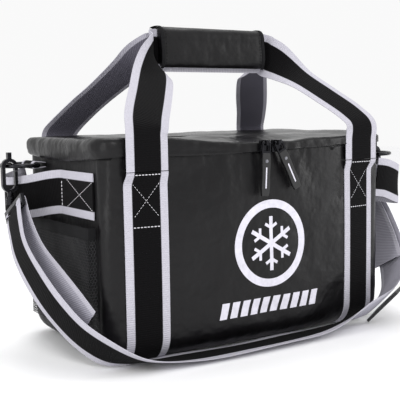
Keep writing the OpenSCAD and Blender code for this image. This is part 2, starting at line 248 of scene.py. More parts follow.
def relief(x, y, z):
    """How far the filled fabric stands out from the plain walls."""
    y = min(HALF_D, max(-HALF_D, y))
    calm = smoothstep(24 * MM, 44 * MM, abs(abs(x) - LEG_X))
    slack = 2.6 * ripple(x, y, z, 70 * MM) + 1.1 * ripple(x + z * 0.5, y, z * 0.4, 30 * MM)
    gather = math.exp(-(RIM_Z - z) / (18 * MM)) * ripple(x, y, 0.4, 11 * MM)
    low_fold = math.exp(-((z - 46 * MM) / (22 * MM)) ** 2) * ripple(x, y, z * 2, 34 * MM)
    if abs(x) > HALF_L - 1 * MM:
        crumple = 0.5 + 0.5 * ripple(y, z * 1.6, 0, 24 * MM)
        out = -3.4 * crumple * smoothstep(0, 24 * MM, HALF_D - CORNER_R - abs(y))
    else:
        belly = 2.6 * math.sin(math.pi * min(1, z / RIM_Z)) * (1 - (x / HALF_L) ** 2)
        out = (slack + 2.4 * gather + 1.3 * low_fold) * calm + belly
    return out * MM * smoothstep(0, BASE_R * 1.3, z)


def wall_rows(top):
    """(offset, height, angle) of each row from the rim down round the bottom edge."""
    count = round((top - BASE_R) / WALL_STEP)
    rows = [(0.0, mix(top, BASE_R, i / count), 0.0) for i in range(count)]
    for i in range(WALL_TURN_N + 1):
        a = math.pi / 2 * i / WALL_TURN_N
        rows.append((-BASE_R * (1 - math.cos(a)), BASE_R * (1 - math.sin(a)), a))
    return rows


def wall_cover(name, start, stop, top):
    """Cover from one seam to the next, from the rim to under the bag."""
    points, uvs = [], []
    rows = wall_rows(top)
    span = range(start, stop + 1)
    for e, z, a in rows:
        line, wide = plan(e), plan(e + 1 * MM)
        for i in span:
            p, q = Vector(line[i % PLAN_N]), Vector(wide[i % PLAN_N])
            out = (q - p).normalized() * relief(p.x, p.y, z)
            drop = math.sin(a) * relief(p.x, p.y, z)
            edge = min(i - start, stop - i)
            seam = -0.9 * MM * math.exp(-(edge / 1.2) ** 2)
            point = p + out * math.cos(a) + (q - p).normalized() * seam
            points.append((point.x, point.y, max(0.15 * MM, z - drop)))
            uvs.append((i * 4 * MM, z))
    return mesh_piece(name, points, grid_faces(len(rows), len(span), flip=True), uvs)


# ---------- flat webbing ----------


def through(rows, steps):
    """Catmull-Rom rows through [point, direction across] rows, with steps between them."""
    rows = [[Vector(v) for v in row] for row in rows]
    out = []
    for i in range(len(rows) - 1):
        a, b, c, d = (rows[max(i - 1, 0)], rows[i], rows[i + 1], rows[min(i + 2, len(rows) - 1)])
        for k in range(steps):
            t = k / steps
            out.append([
                0.5 * (2 * b[j] + (c[j] - a[j]) * t
                       + (2 * a[j] - 5 * b[j] + 4 * c[j] - d[j]) * t * t
                       + (3 * b[j] - a[j] - 3 * c[j] + d[j]) * t ** 3)
                for j in (0, 1)])
    out.append([v.copy() for v in rows[-1]])
    return out


def in_metres(rows):
    return [[[v * MM for v in point], across] for point, across in rows]


def ribbon(name, rows, width, thickness, columns=10, curl=0.0, wave=0.0, switch=None):
    """Webbing along rows of [point, direction across].

    The upper face is the dark one, except in rows where switch(i) is true.
    """
    count = len(rows)
    ring = 2 * (columns + 1)
    points, uvs, faces, slots = [], [], [], []
    run = 0.0
    for i, (point, raw) in enumerate(rows):
        along = (rows[min(i + 1, count - 1)][0] - rows[max(i - 1, 0)][0]).normalized()
        across = (raw - raw.dot(along) * along).normalized()
        up = along.cross(across)
        if i:
            run += (point - rows[i - 1][0]).length
        for side in (1, -1):
            for c in range(columns + 1):
                s = c / columns if side > 0 else 1 - c / columns
                t = 2 * s - 1
                edge = 1 - 0.55 * abs(t) ** 8
                lift = curl * (t * t - 0.33)
                flutter = wave * t * abs(t) * math.sin(run / (23 * MM) + t)
                points.append(point + across * (t * width / 2)
                              + up * (side * thickness / 2 * edge + lift + flutter))
                uvs.append((s, run / width))
    for i in range(count - 1):
        for c in range(ring):
            n = (c + 1) % ring
            faces.append((i * ring + c, i * ring + n, (i + 1) * ring + n, (i + 1) * ring + c))
            top = c < columns
            swap = bool(switch and switch(i))
            slots.append(int(top == swap) if c not in (columns, ring - 1) else 0)
    faces.append(tuple(range(ring)))
    faces.append(tuple(reversed(range((count - 1) * ring, count * ring))))
    slots += [0, 0]
    piece = mesh_piece(name, points, faces, uvs, slots)
    outward(piece)
    return piece


def stitches(name, paths, length=2.6 * MM, gap=1.5 * MM, radius=0.34 * MM):
    """Rows of raised stitches; each path is a list of (point, outward) pairs."""
    points, faces = [], []
    for path in paths:
        spots = [(Vector(p), Vector(n).normalized()) for p, n in path]
        run, due = 0.0, gap / 2
        for (p, n), (q, m) in zip(spots, spots[1:]):
            step = (q - p).length
            while due + length <= run + step + 1e-9:
                a = p.lerp(q, (due - run) / step)
                b = p.lerp(q, (due + length - run) / step)
                along, out = (b - a).normalized(), n.lerp(m, 0.5).normalized()
                side = along.cross(out)
                base = len(points)
                for place, grow in ((a, 0.35), (a.lerp(b, 0.2), 1), (a.lerp(b, 0.8), 1), (b, 0.35)):
                    for k in range(6):
                        turn = math.pi / 3 * k
                        points.append(place + (side * math.cos(turn) + out * math.sin(turn))
                                      * radius * grow)
                for r in range(3):
                    for k in range(6):
                        w = (k + 1) % 6
                        faces.append((base + r * 6 + k, base + r * 6 + w,
                                      base + r * 6 + 6 + w, base + r * 6 + 6 + k))
                faces.append(tuple(base + k for k in range(5, -1, -1)))
                faces.append(tuple(base + 18 + k for k in range(6)))
                due += length + gap
            run += step
    piece = mesh_piece(name, points, faces)
    outward(piece)
    return piece


# ---------- materials ----------


def linear(code):
    """An sRGB hex colour as linear numbers, opaque."""
    channels = [int(code[i:i + 2], 16) / 255 for i in (1, 3, 5)]
    return tuple(c / 12.92 if c <= 0.04045 else ((c + 0.055) / 1.055) ** 2.4
                 for c in channels) + (1.0,)


def tinted(code, factor, lift=0.0):
    """A hex colour made darker or lighter by a factor, then lifted."""
    return tuple(min(1.0, c * factor + lift) for c in linear(code)[:3]) + (1.0,)


def add_node(tree, kind, inputs=None, **settings):
    """Adds a node with its settings; an input is either a value or the socket that feeds it."""
    node = tree.nodes.new(kind)
    for key, value in settings.items():
        setattr(node, key, value)
    for key, value in (inputs or {}).items():
        if isinstance(value, bpy.types.NodeSocket):
            tree.links.new(value, node.inputs[key])
        else:
            node.inputs[key].default_value = value
    return node


def new_material(name, **shader_inputs):
    """A material with one shader, and its tree."""
    material = bpy.data.materials.new(name)
    material.use_nodes = True
    tree = material.node_tree
    tree.nodes.clear()
    shader = add_node(tree, "ShaderNodeBsdfPrincipled")
    add_node(tree, "ShaderNodeOutputMaterial", {"Surface": shader.outputs[0]})
    for key, value in shader_inputs.items():
        shader.inputs[key.replace("_", " ")].default_value = value
    return material, tree, shader


def blend_colours(tree, factor, first, second):
    """A node that goes from the first colour to the second."""
    node = add_node(tree, "ShaderNodeMix", data_type="RGBA")
    for socket, value in ((node.inputs[0], factor), (node.inputs[6], first),
                          (node.inputs[7], second)):
        if isinstance(value, bpy.types.NodeSocket):
            tree.links.new(value, socket)
        else:
            socket.default_value = value
    return node.outputs[2]


def coated_tarpaulin(name, colour, rough_low, rough_high):
    """PVC-coated polyester, calendered: near black, half gloss, with a fine leather grain."""
    material, tree, shader = new_material(name, Specular_IOR_Level=0.24)
    place = add_node(tree, "ShaderNodeTexCoord").outputs["Object"]
    # The real grain is 0.8 mm; it is drawn at 1.6 mm so that it shows
    grain = add_node(tree, "ShaderNodeTexVoronoi",
                     {"Vector": place, "Scale": 1 / (1.6 * MM), "Randomness": 0.9})
    cloud = add_node(tree, "ShaderNodeTexNoise",
                     {"Vector": place, "Scale": 1 / (45 * MM), "Detail": 3.0})
    dents = add_node(tree, "ShaderNodeTexNoise",
                     {"Vector": place, "Scale": 1 / (11 * MM), "Detail": 2.0})
    rough = add_node(tree, "ShaderNodeMapRange",
                     {"Value": cloud.outputs[0], "From Min": 0.35, "From Max": 0.65,
                      "To Min": rough_low, "To Max": rough_high})
    tree.links.new(rough.outputs[0], shader.inputs["Roughness"])
    dark = tinted(colour, 0.8)
    tree.links.new(blend_colours(tree, cloud.outputs[0], dark, linear(colour)),
                   shader.inputs["Base Color"])
    large = add_node(tree, "ShaderNodeBump",
                     {"Height": cloud.outputs[0], "Distance": 9 * MM, "Strength": 0.55})
    soft = add_node(tree, "ShaderNodeBump",
                    {"Height": dents.outputs[0], "Distance": 1.2 * MM, "Strength": 0.35,
                     "Normal": large.outputs[0]})
    fine = add_node(tree, "ShaderNodeBump",
                    {"Height": grain.outputs[0], "Distance": 0.15 * MM, "Strength": 0.3,
                     "Normal": soft.outputs[0]})
    tree.links.new(fine.outputs[0], shader.inputs["Normal"])
    return material


def webbing(name, middle, stripe, slant=0.0, share=0.18):
    """Woven polyester webbing: dull, cross-ribbed, with a stripe along both edges."""
    material, tree, shader = new_material(name, Roughness=0.82, Sheen_Weight=0.01,
                                          Sheen_Roughness=0.6, Specular_IOR_Level=0.1)
    uv = add_node(tree, "ShaderNodeTexCoord").outputs["UV"]
    split = add_node(tree, "ShaderNodeSeparateXYZ", {0: uv})
    from_middle = add_node(tree, "ShaderNodeMath", {0: split.outputs[0], 1: 0.5},
                           operation="SUBTRACT")
    distance = add_node(tree, "ShaderNodeMath", {0: from_middle.outputs[0]},
                        operation="ABSOLUTE")
    edge = add_node(tree, "ShaderNodeMapRange",
                    {"Value": distance.outputs[0], "From Min": 0.5 - share - 0.008,
                     "From Max": 0.5 - share + 0.008})
    # Ribs 2.4 mm apart across, warp cords 1.5 mm apart along
    lean = add_node(tree, "ShaderNodeMath", {0: split.outputs[0], 1: slant,
                                             2: split.outputs[1]}, operation="MULTIPLY_ADD")
    rib = add_node(tree, "ShaderNodeMath",
                   {0: lean.outputs[0], 1: 2 * math.pi * WEB_W / (2.4 * MM)},
                   operation="MULTIPLY")
    rib_wave = add_node(tree, "ShaderNodeMath", {0: rib.outputs[0]}, operation="SINE")
    cord = add_node(tree, "ShaderNodeMath",
                    {0: split.outputs[0], 1: 2 * math.pi * WEB_W / (1.5 * MM)},
                    operation="MULTIPLY")
    cord_wave = add_node(tree, "ShaderNodeMath", {0: cord.outputs[0]}, operation="SINE")
    height = add_node(tree, "ShaderNodeMath", {0: cord_wave.outputs[0], 1: 0.35,
                                               2: rib_wave.outputs[0]},
                      operation="MULTIPLY_ADD")
    wear = add_node(tree, "ShaderNodeTexNoise", {"Vector": uv, "Scale": 9.0, "Detail": 4.0})
    shade = add_node(tree, "ShaderNodeMapRange",
                     {"Value": height.outputs[0], "From Min": -1.3, "From Max": 1.3,
                      "To Min": 0.0, "To Max": 1.0})
    # Painted shade: the middle colour is darkened in the troughs between ribs and cords, following
    # the bump height
    middle_trough_shade = tinted(middle, 0.62)
    dim_stripe = tinted(stripe, 0.86)
    inner = blend_colours(tree, shade.outputs[0], middle_trough_shade, linear(middle))
    outer = blend_colours(tree, wear.outputs[0], dim_stripe, linear(stripe))
    tree.links.new(blend_colours(tree, edge.outputs[0], inner, outer),
                   shader.inputs["Base Color"])
    bump = add_node(tree, "ShaderNodeBump",
                    {"Height": height.outputs[0], "Distance": 0.25 * MM, "Strength": 0.55})
    tree.links.new(bump.outputs[0], shader.inputs["Normal"])
    return material


def plain_weave(name, colour, thread, rough=0.85):
    """Plain woven nylon, matt, with its threads as a fine grid."""
    material, tree, shader = new_material(name, Roughness=rough, Specular_IOR_Level=0.2)
    place = add_node(tree, "ShaderNodeTexCoord").outputs["Object"]
    weave = add_node(tree, "ShaderNodeTexVoronoi",
                     {"Vector": place, "Scale": 1 / thread, "Randomness": 0.15})
    tone = add_node(tree, "ShaderNodeTexNoise",
                    {"Vector": place, "Scale": 1 / (30 * MM), "Detail": 3.0})
    dark = tinted(colour, 0.7)
    tree.links.new(blend_colours(tree, tone.outputs[0], dark, linear(colour)),
                   shader.inputs["Base Color"])
    bump = add_node(tree, "ShaderNodeBump", {"Height": weave.outputs[0],
                                             "Distance": 0.3 * MM, "Strength": 0.5})
    tree.links.new(bump.outputs[0], shader.inputs["Normal"])
    return material


def hard_finish(name, colour, metallic, rough, grain, depth=0.05 * MM):
    """A moulded or plated surface: even colour, with faint unevenness in its gloss."""
    material, tree, shader = new_material(name, Metallic=metallic)
    place = add_node(tree, "ShaderNodeTexCoord").outputs["Object"]
    spots = add_node(tree, "ShaderNodeTexNoise",
                     {"Vector": place, "Scale": 1 / grain, "Detail": 4.0})
    gloss = add_node(tree, "ShaderNodeMapRange",
                     {"Value": spots.outputs[0], "From Min": 0.3, "From Max": 0.7,
                      "To Min": rough * 0.8, "To Max": rough * 1.25})
    tree.links.new(gloss.outputs[0], shader.inputs["Roughness"])
    worn = tinted(colour, 1.5, 0.004)
    tree.links.new(blend_colours(tree, spots.outputs[0], linear(colour), worn),
                   shader.inputs["Base Color"])
    bump = add_node(tree, "ShaderNodeBump", {"Height": spots.outputs[0],
                                             "Distance": depth, "Strength": 0.3})
    tree.links.new(bump.outputs[0], shader.inputs["Normal"])
    return material


def make_materials(colours):
    """Every finish of the bag, by its common name."""
    black, white = colours.webbing, colours.stripe
    return {
        "cover": coated_tarpaulin("coated tarpaulin", colours.cover, 0.30, 0.44),
        "ends": coated_tarpaulin("coated tarpaulin, dull side", colours.cover, 0.5, 0.62),
        "lid": coated_tarpaulin("coated tarpaulin, lid", colours.cover, 0.26, 0.38),
        "grip": coated_tarpaulin("grained synthetic leather", colours.cover, 0.36, 0.5),
        "webbing": webbing("striped polyester webbing", black, white),
        # The underside is given twice, as a lit copy and a copy with painted shade: the lighter one
        # for the strap, its ends, the bands and the front handle, the darker one, stripes included,
        # for the back handle, which lies in shade
        "underside": webbing("webbing underside", "#b0aeba", white, slant=0.5, share=0.12),
        "underside_painted_shade": webbing("webbing underside, in shade", "#5f5d68", "#a3a1ab", slant=0.5,
                                  share=0.12),
        "thread": plain_weave("bonded polyester thread", "#e6e4ea", 0.6 * MM),
        "print": hard_finish("screen print ink", colours.stripe, 0.0, 0.5, 6 * MM, 0.02 * MM),
        "binding": plain_weave("folded binding tape", "#141416", 0.9 * MM),
        "zip": plain_weave("zip tape", "#0c0c0d", 0.8 * MM),
        "coil": hard_finish("nylon zip coil", "#1a1a1c", 0.0, 0.35, 2 * MM),
        "lining": plain_weave("nylon lining", "#55555b", 1.0 * MM),
        "foam": plain_weave("closed-cell foam", "#b9b9bd", 0.8 * MM, 0.95),
        "board": hard_finish("polypropylene board", "#77777c", 0.0, 0.5, 5 * MM),
        "mesh": hard_finish("knitted polyester mesh", "#1b1b1e", 0.0, 0.6, 2 * MM),
        "metal": hard_finish("black plated zinc", "#1d1d20", 0.85, 0.24, 3 * MM),
        "rubber": hard_finish("moulded soft rubber", "#040405", 0.0, 0.45, 2 * MM),
        "plastic": hard_finish("moulded acetal", "#141416", 0.0, 0.3, 4 * MM),
        "rivet": hard_finish("grey lacquered rivet", "#6a6a70", 0.6, 0.35, 2 * MM),
    }


FINISH = {}


# ---------- properties ----------


class BagColours(bpy.types.PropertyGroup):
    """Colours that a maker would change, as sRGB hex."""

    cover: bpy.props.StringProperty(
        name="Cover", description="Coated fabric of the body and lid", default="#0c0b0d")
    webbing: bpy.props.StringProperty(
        name="Webbing", description="Middle of the webbing", default="#060507")
    stripe: bpy.props.StringProperty(
        name="Stripe", description="Edge stripes and printed design", default="#bdbbc5")


class BagSizes(bpy.types.PropertyGroup):
    """Sizes that a maker would change."""

    webbing_thickness: bpy.props.FloatProperty(
        name="Webbing thickness", description="Thickness of the sewn webbing",
        default=1.7 * MM, unit="LENGTH")
    strap_length: bpy.props.FloatProperty(
        name="Strap length", description="Length of the shoulder strap between its loops",
        default=0.8, unit="LENGTH")
    lid_sag: bpy.props.FloatProperty(
        name="Lid sag", description="How far the lid's front edge sinks between the handles",
        default=8 * MM, unit="LENGTH")
    mesh_pitch: bpy.props.FloatProperty(
        name="Mesh pitch", description="Distance between the holes of the pocket mesh",
        default=3.6 * MM, unit="LENGTH")
    ring_radius: bpy.props.FloatProperty(
        name="Printed ring radius", description="Outer radius of the printed ring",
        default=51 * MM, unit="LENGTH")


class BagOperator(bpy.types.Operator):
    """Shared parts of every operator of the bag."""

    bl_options = {"REGISTER", "UNDO"}

    def execute(self, context):
        bpy.ops.object.select_all(action="DESELECT")
        if not FINISH:
            FINISH.update(make_materials(context.scene.bag_colours))
        self.make(context.scene.bag_sizes)
        return {"FINISHED"}


# ---------- stage ----------

CAMERA_TARGET = Vector((-0.0116, 0, 0.1611))
CAMERA_TURN = (-32.64, 5.95, -1.0)
CAMERA_AWAY = 1.0462
CAMERA_LENS = 74.3


class BAG_OT_stage(BagOperator):
    """Adds the camera, the soft lights and the pale floor"""

    bl_idname = "bag.stage"
    bl_label = "Stage"

    def make(self, sizes):
        scene = bpy.context.scene
        azimuth, elevation, roll = (math.radians(a) for a in CAMERA_TURN)
        back = Vector((math.sin(azimuth) * math.cos(elevation),
                       -math.cos(azimuth) * math.cos(elevation), math.sin(elevation)))
        camera = bpy.data.objects.new("camera", bpy.data.cameras.new("camera"))
        scene.collection.objects.link(camera)
        camera.location = CAMERA_TARGET + back * CAMERA_AWAY
        turn = (-back).to_track_quat("-Z", "Y").to_matrix() @ Matrix.Rotation(roll, 3, "Z")
        camera.rotation_euler = turn.to_euler()
        camera.data.lens = CAMERA_LENS
        camera.data.sensor_width = 36
        scene.camera = camera
        scene.view_settings.view_transform = "Standard"

        bpy.ops.mesh.primitive_plane_add(size=8, location=(0, 0, -0.2 * MM))
        floor = bpy.context.object
        floor.name = "floor"
        paint, _, shader = new_material("matt pale floor", Roughness=0.9)
        shader.inputs["Base Color"].default_value = linear("#fbfbfc")
        floor.data.materials.append(paint)

        world = bpy.data.worlds.new("studio")
        scene.world = world
        world.use_nodes = True
        world.node_tree.nodes["Background"].inputs[0].default_value = (1, 1, 1, 1)
        world.node_tree.nodes["Background"].inputs[1].default_value = 0.95
        lights = (
            ("key", (-0.7, -1.6, 1.3), (0.5, 0.9), 12),
            ("left", (-1.6, -0.5, 0.6), (0.25, 1.3), 6),
            ("top", (0.2, 0.5, 1.6), (1.0, 0.5), 9),
            ("right", (1.5, -1.0, 0.6), (0.3, 1.3), 6),
        )
        for name, place, size, power in lights:
            data = bpy.data.lights.new(name, "AREA")
            data.shape = "RECTANGLE"
            data.size, data.size_y = size
            data.energy = power
            light = bpy.data.objects.new(name, data)
            scene.collection.objects.link(light)
            light.location = place
            light.rotation_euler = (Vector((0, 0, 0.15)) - Vector(place)).to_track_quat(
                "-Z", "Y").to_euler()


# ---------- shoulder strap ----------

STRAP_ROUTE = in_metres([
    [[-246, 34, 162.2], [0, 44, -22]],
    [[-250, 18, 146], [0, 44, -22]],
    [[-252, -2, 122], [0, 44, -24]],
    [[-247, -28, 94], [0, 44, -26]],
    [[-238, -56, 66], [0, 42, -30]],
    [[-223, -86, 40], [0, 40, -32]],
    [[-202, -110, 22], [-2, 42, -30]],
    [[-176, -121, 11], [-2, 46, -16]],
    [[-148, -123, 6], [0, 50, -9]],
    [[-110, -125, 4], [0, 50, -5]],
    [[-50, -128, 4], [0, 50, -5]],
    [[0, -129, 4], [0, 50, -5]],
    [[50, -128, 5], [0, 50, -7]],
    [[80, -128, 7], [0, 49, -11]],
    [[110, -130, 12], [-1, 46, -19]],
    [[134, -135, 19], [-6, 40, -29]],
    [[157, -139, 27], [-12, 33, -35]],
    [[176, -134, 32], [-16, 30, -37]],
    [[196, -121, 36], [-16, 30, -37]],
    [[225, -106, 52], [-12, 35, -31]],
    [[242, -80, 87], [-4, 40, -26]],
    [[247, -56, 120], [0, 43, -24]],
    [[245.5, -34, 148], [0, 44, -22]]])
FOLD_LEFT_ROUTE = in_metres([
    [[-238, 34, 162.6], [0, 44, -22]],
    [[-240, 14, 144], [-2, 44, -22]],
    [[-238, -14, 116], [-4, 44, -24]],
    [[-230, -44, 89], [-6, 40, -28]],
    [[-221, -72, 65], [-6, 36, -34]],
    [[-214, -90, 48], [-6, 34, -36]]])
FOLD_RIGHT_ROUTE = in_metres([
    [[238, -34, 148], [0, 44, -22]],
    [[239, -54, 121], [0, 43, -24]],
    [[234, -75, 93], [-4, 40, -26]],
    [[226, -92, 68], [-10, 38, -28]]])
STRAP_STEPS = 8
# Rows of the route where the strap is seen edge-on and its dark face changes sides
STRAP_ON_FLOOR = 8
BUCKLE_ROW = 17


class BAG_OT_strap(BagOperator):
    """Adds the shoulder strap and its two folded ends"""

    bl_idname = "bag.strap"
    bl_label = "Shoulder strap"

    def make(self, sizes):
        rows = through(STRAP_ROUTE, STRAP_STEPS)
        first, last = STRAP_ON_FLOOR * STRAP_STEPS, BUCKLE_ROW * STRAP_STEPS
        strap = ribbon("shoulder_strap_webbing", rows, WEB_W, 1.5 * MM, curl=0.5 * MM,
                       wave=0.9 * MM, switch=lambda i: not first <= i < last)
        finish_piece(strap, "bag", [FINISH["webbing"], FINISH["underside"]],
                     ["shoulder_strap"])
        for side, route in (("left", FOLD_LEFT_ROUTE), ("right", FOLD_RIGHT_ROUTE)):
            fold = ribbon(f"strap_end_{side}", through(route, STRAP_STEPS), WEB_W, 1.5 * MM,
                          curl=-0.6 * MM, wave=0.8 * MM)
            finish_piece(fold, "bag", [FINISH["webbing"], FINISH["underside"]],
                         [f"strap_fold_{side}"])
        wrap = self.loop_wraps()

    def loop_wraps(self):
        """The short turn of webbing round each loop that joins the strap to its folded end."""
        wraps = []
        for name, outer, inner in (("left", STRAP_ROUTE[0], FOLD_LEFT_ROUTE[0]),
                                   ("right", STRAP_ROUTE[-1], FOLD_RIGHT_ROUTE[0])):
            a, b = Vector(outer[0]), Vector(inner[0])
            middle, radius = (a + b) / 2, (a - b).length / 2
            across = Vector(outer[1]).normalized()
            out = (a - b).normalized()
            up = across.cross(out)
            if up.z < 0:
                up = -up
            rows = [[middle + out * radius * math.cos(t) + up * radius * 1.15 * math.sin(t), across]
                    for t in (math.pi * k / 12 for k in range(13))]
            if name == "left":
                rows.reverse()
            wrap = ribbon(f"strap_turn_{name}", rows, WEB_W * 0.97, 1.5 * MM)
            wraps.append(finish_piece(wrap, "bag", [FINISH["webbing"]] * 2))
        return wraps


# ---------- body ----------


class BAG_OT_body(BagOperator):
    """Adds the covers of the body, its base and its lining"""

    bl_idname = "bag.body"
    bl_label = "Body covers"

    def make(self, sizes):
        spans = (
            ("front_cover", LEFT_CORNER, PLAN_N + RIGHT_END, "cover",
             ("front_panel", "base_panel")),
            ("end_cover_right", RIGHT_END, BACK_RIGHT, "ends", ("end_panel_right",)),
            ("back_cover", BACK_RIGHT, LEFT_END, "cover", ("back_panel",)),
            ("end_cover_left", LEFT_END, LEFT_CORNER, "ends", ("end_panel_left",)),
        )
        for name, start, stop, finish, replaced in spans:
            cover = wall_cover(name, start, stop, RIM_Z)
            modify(cover, "SOLIDIFY", thickness=COVER_T, offset=-1)
            finish_piece(cover, "bag", [FINISH[finish]], replaced)
        self.base()
        self.lining()

    def base(self):
        """The flat bottom."""
        line = plan(-BASE_R + 1 * MM)
        points = [Vector((x, y, 0.4 * MM)) for x, y in line]
        base = mesh_piece("base_cover", points, [tuple(reversed(range(len(points))))])
        modify(base, "SOLIDIFY", thickness=BASE_COVER_T, offset=-1)
        finish_piece(base, "bag", [FINISH["ends"]])

    def lining(self):
        """A soft inner bag with a rounded bottom edge."""
        inset = low("lining").x + HALF_L
        rows = [(-inset, mix(high("lining").z, 34 * MM, i / 24)) for i in range(25)]
        rows += [(-inset - 20 * MM * (1 - math.cos(math.radians(a))),
                  34 * MM - 20 * MM * math.sin(math.radians(a))) for a in range(15, 91, 15)]
        points = []
        for e, z in rows:
            for x, y in plan(e):
                fold = 0.8 * MM * ripple(x, y, z * 0.5, 22 * MM)
                points.append((x * (1 - fold / HALF_L), y * (1 - fold / HALF_D), z))
        faces = grid_faces(len(rows), PLAN_N, closed=True)
        last = (len(rows) - 1) * PLAN_N
        faces.append(tuple(last + i for i in range(PLAN_N)))
        lining = mesh_piece("lining_bag", points, faces)
        modify(lining, "SOLIDIFY", thickness=LINING_T, offset=-1)
        finish_piece(lining, "bag", [FINISH["lining"]],
                     ("lining", "foam_front", "foam_back", "foam_left", "foam_right"))


# ---------- lid ----------


def lid_drop(x, y):
    """How far the lid's lower edge hangs below its seam height."""
    end = math.exp(-((x + HALF_L) / (30 * MM)) ** 2)
    left = 8.5 * end * (1 - (y / (HALF_D * 1.12)) ** 2)
    front = smoothstep(-60 * MM, -100 * MM, y)
    front_drop = 3.4 * front * math.exp(-((x + 70 * MM) / (110 * MM)) ** 2)
    right = -2.2 * front * smoothstep(60 * MM, 150 * MM, x)
    return (max(0, left) + front_drop + right) * MM


def lid_dip(x, y, sag):
    """How far the lid's top lies below its plain height."""
    front = smoothstep(-40 * MM, -100 * MM, y)
    middle = math.exp(-(x / (105 * MM)) ** 4) + 0.55 * smoothstep(60 * MM, 140 * MM, x)
    bowl = 0.35 * (1 - (x / HALF_L) ** 2) * (1 - (y / HALF_D) ** 2)
    left = -0.15 * smoothstep(-90 * MM, -150 * MM, x) * front
    wrinkle = 0.16 * ripple(x, y * 0.5, 0, 38 * MM) + 0.08 * ripple(x * 2, y, 1, 30 * MM)
    return sag * (front * middle + bowl + left + wrinkle)


class BAG_OT_lid(BagOperator):
    """Adds the lid's cover with its skirt, and its lining"""

    bl_idname = "bag.lid"
    bl_label = "Lid"

    def make(self, sizes):
        self.cover(sizes.lid_sag)
        self.lining()

    def cover(self, sag):
        turn_r = 5.5 * MM
        profile = [(LIP + 0.6 * MM, LID_Z), (LIP + 1.4 * MM, LID_Z + 1.2 * MM),
                   (LIP + 0.9 * MM, LID_Z + 3 * MM), (LIP + 1.2 * MM, LID_Z + 6 * MM),
                   (LIP + 1.2 * MM, LID_TOP - turn_r)]
        for k in range(1, 7):
            a = math.radians(15 * k)
            profile.append((LIP + 1.2 * MM - turn_r * (1 - math.cos(a)),
                            LID_TOP - turn_r * (1 - math.sin(a))))
        points = []
        for e, z in profile:
            up = (z - LID_Z) / (LID_TOP - LID_Z)
            line, wide = plan(e), plan(e + 1 * MM)
            for p, q in zip(line, wide):
                x, y = p
                out = Vector((q[0] - x, q[1] - y)).normalized()
                puff = (1.1 * ripple(x, y, z * 0.3, 30 * MM) + 0.7 * ripple(x, y, z, 12 * MM)) * MM
                left_end = math.exp(-((x + HALF_L) / (30 * MM)) ** 2)
                puff += 1.8 * MM * left_end * math.sin(math.pi * up)
                points.append((x + out.x * puff, y + out.y * puff,
                               z - lid_drop(x, y) * (1 - up) - lid_dip(x, y, sag) * up))
        inner = plan(LIP + 1.2 * MM - turn_r)
        for k in range(1, 20):
            t = k / 20
            for x, y in inner:
                px, py = mix(x, x * 0.5, t), mix(y, 0, t)
                points.append((px, py, LID_TOP - lid_dip(px, py, sag)))
        count = len(points) // PLAN_N
        faces = grid_faces(count, PLAN_N, closed=True)
        faces.append(tuple((count - 1) * PLAN_N + i for i in range(PLAN_N)))
        cover = mesh_piece("lid_cover", points, faces)
        modify(cover, "SOLIDIFY", thickness=LID_COVER_T, offset=-1)
        finish_piece(cover, "lid", [FINISH["lid"]], ("lid_panel",), angle=60)

    def lining(self):
        """The lid's underside, quilted to its foam."""
        rows = []
        edge = plan(-2 * MM)
        for k in range(20):
            t = k / 20
            for x, y in edge:
                px, py = mix(x, x * 0.5, t), mix(y, 0, t)
                quilt = QUILT_DEEP * abs(math.sin(px * math.pi / QUILT_PITCH)
                                         * math.sin(py * math.pi / QUILT_PITCH))
                z = LID_Z + 3.4 * MM - (quilt if k else 0)
                rows.append((px, py, z))
        faces = [tuple(reversed(f)) for f in grid_faces(20, PLAN_N, closed=True)]
        faces.append(tuple(reversed([19 * PLAN_N + i for i in range(PLAN_N)])))
        lining = mesh_piece("lid_lining_quilted", rows, faces)
        finish_piece(lining, "lid", [FINISH["lining"]], ("lid_lining", "lid_foam"))


# ---------- zip ----------


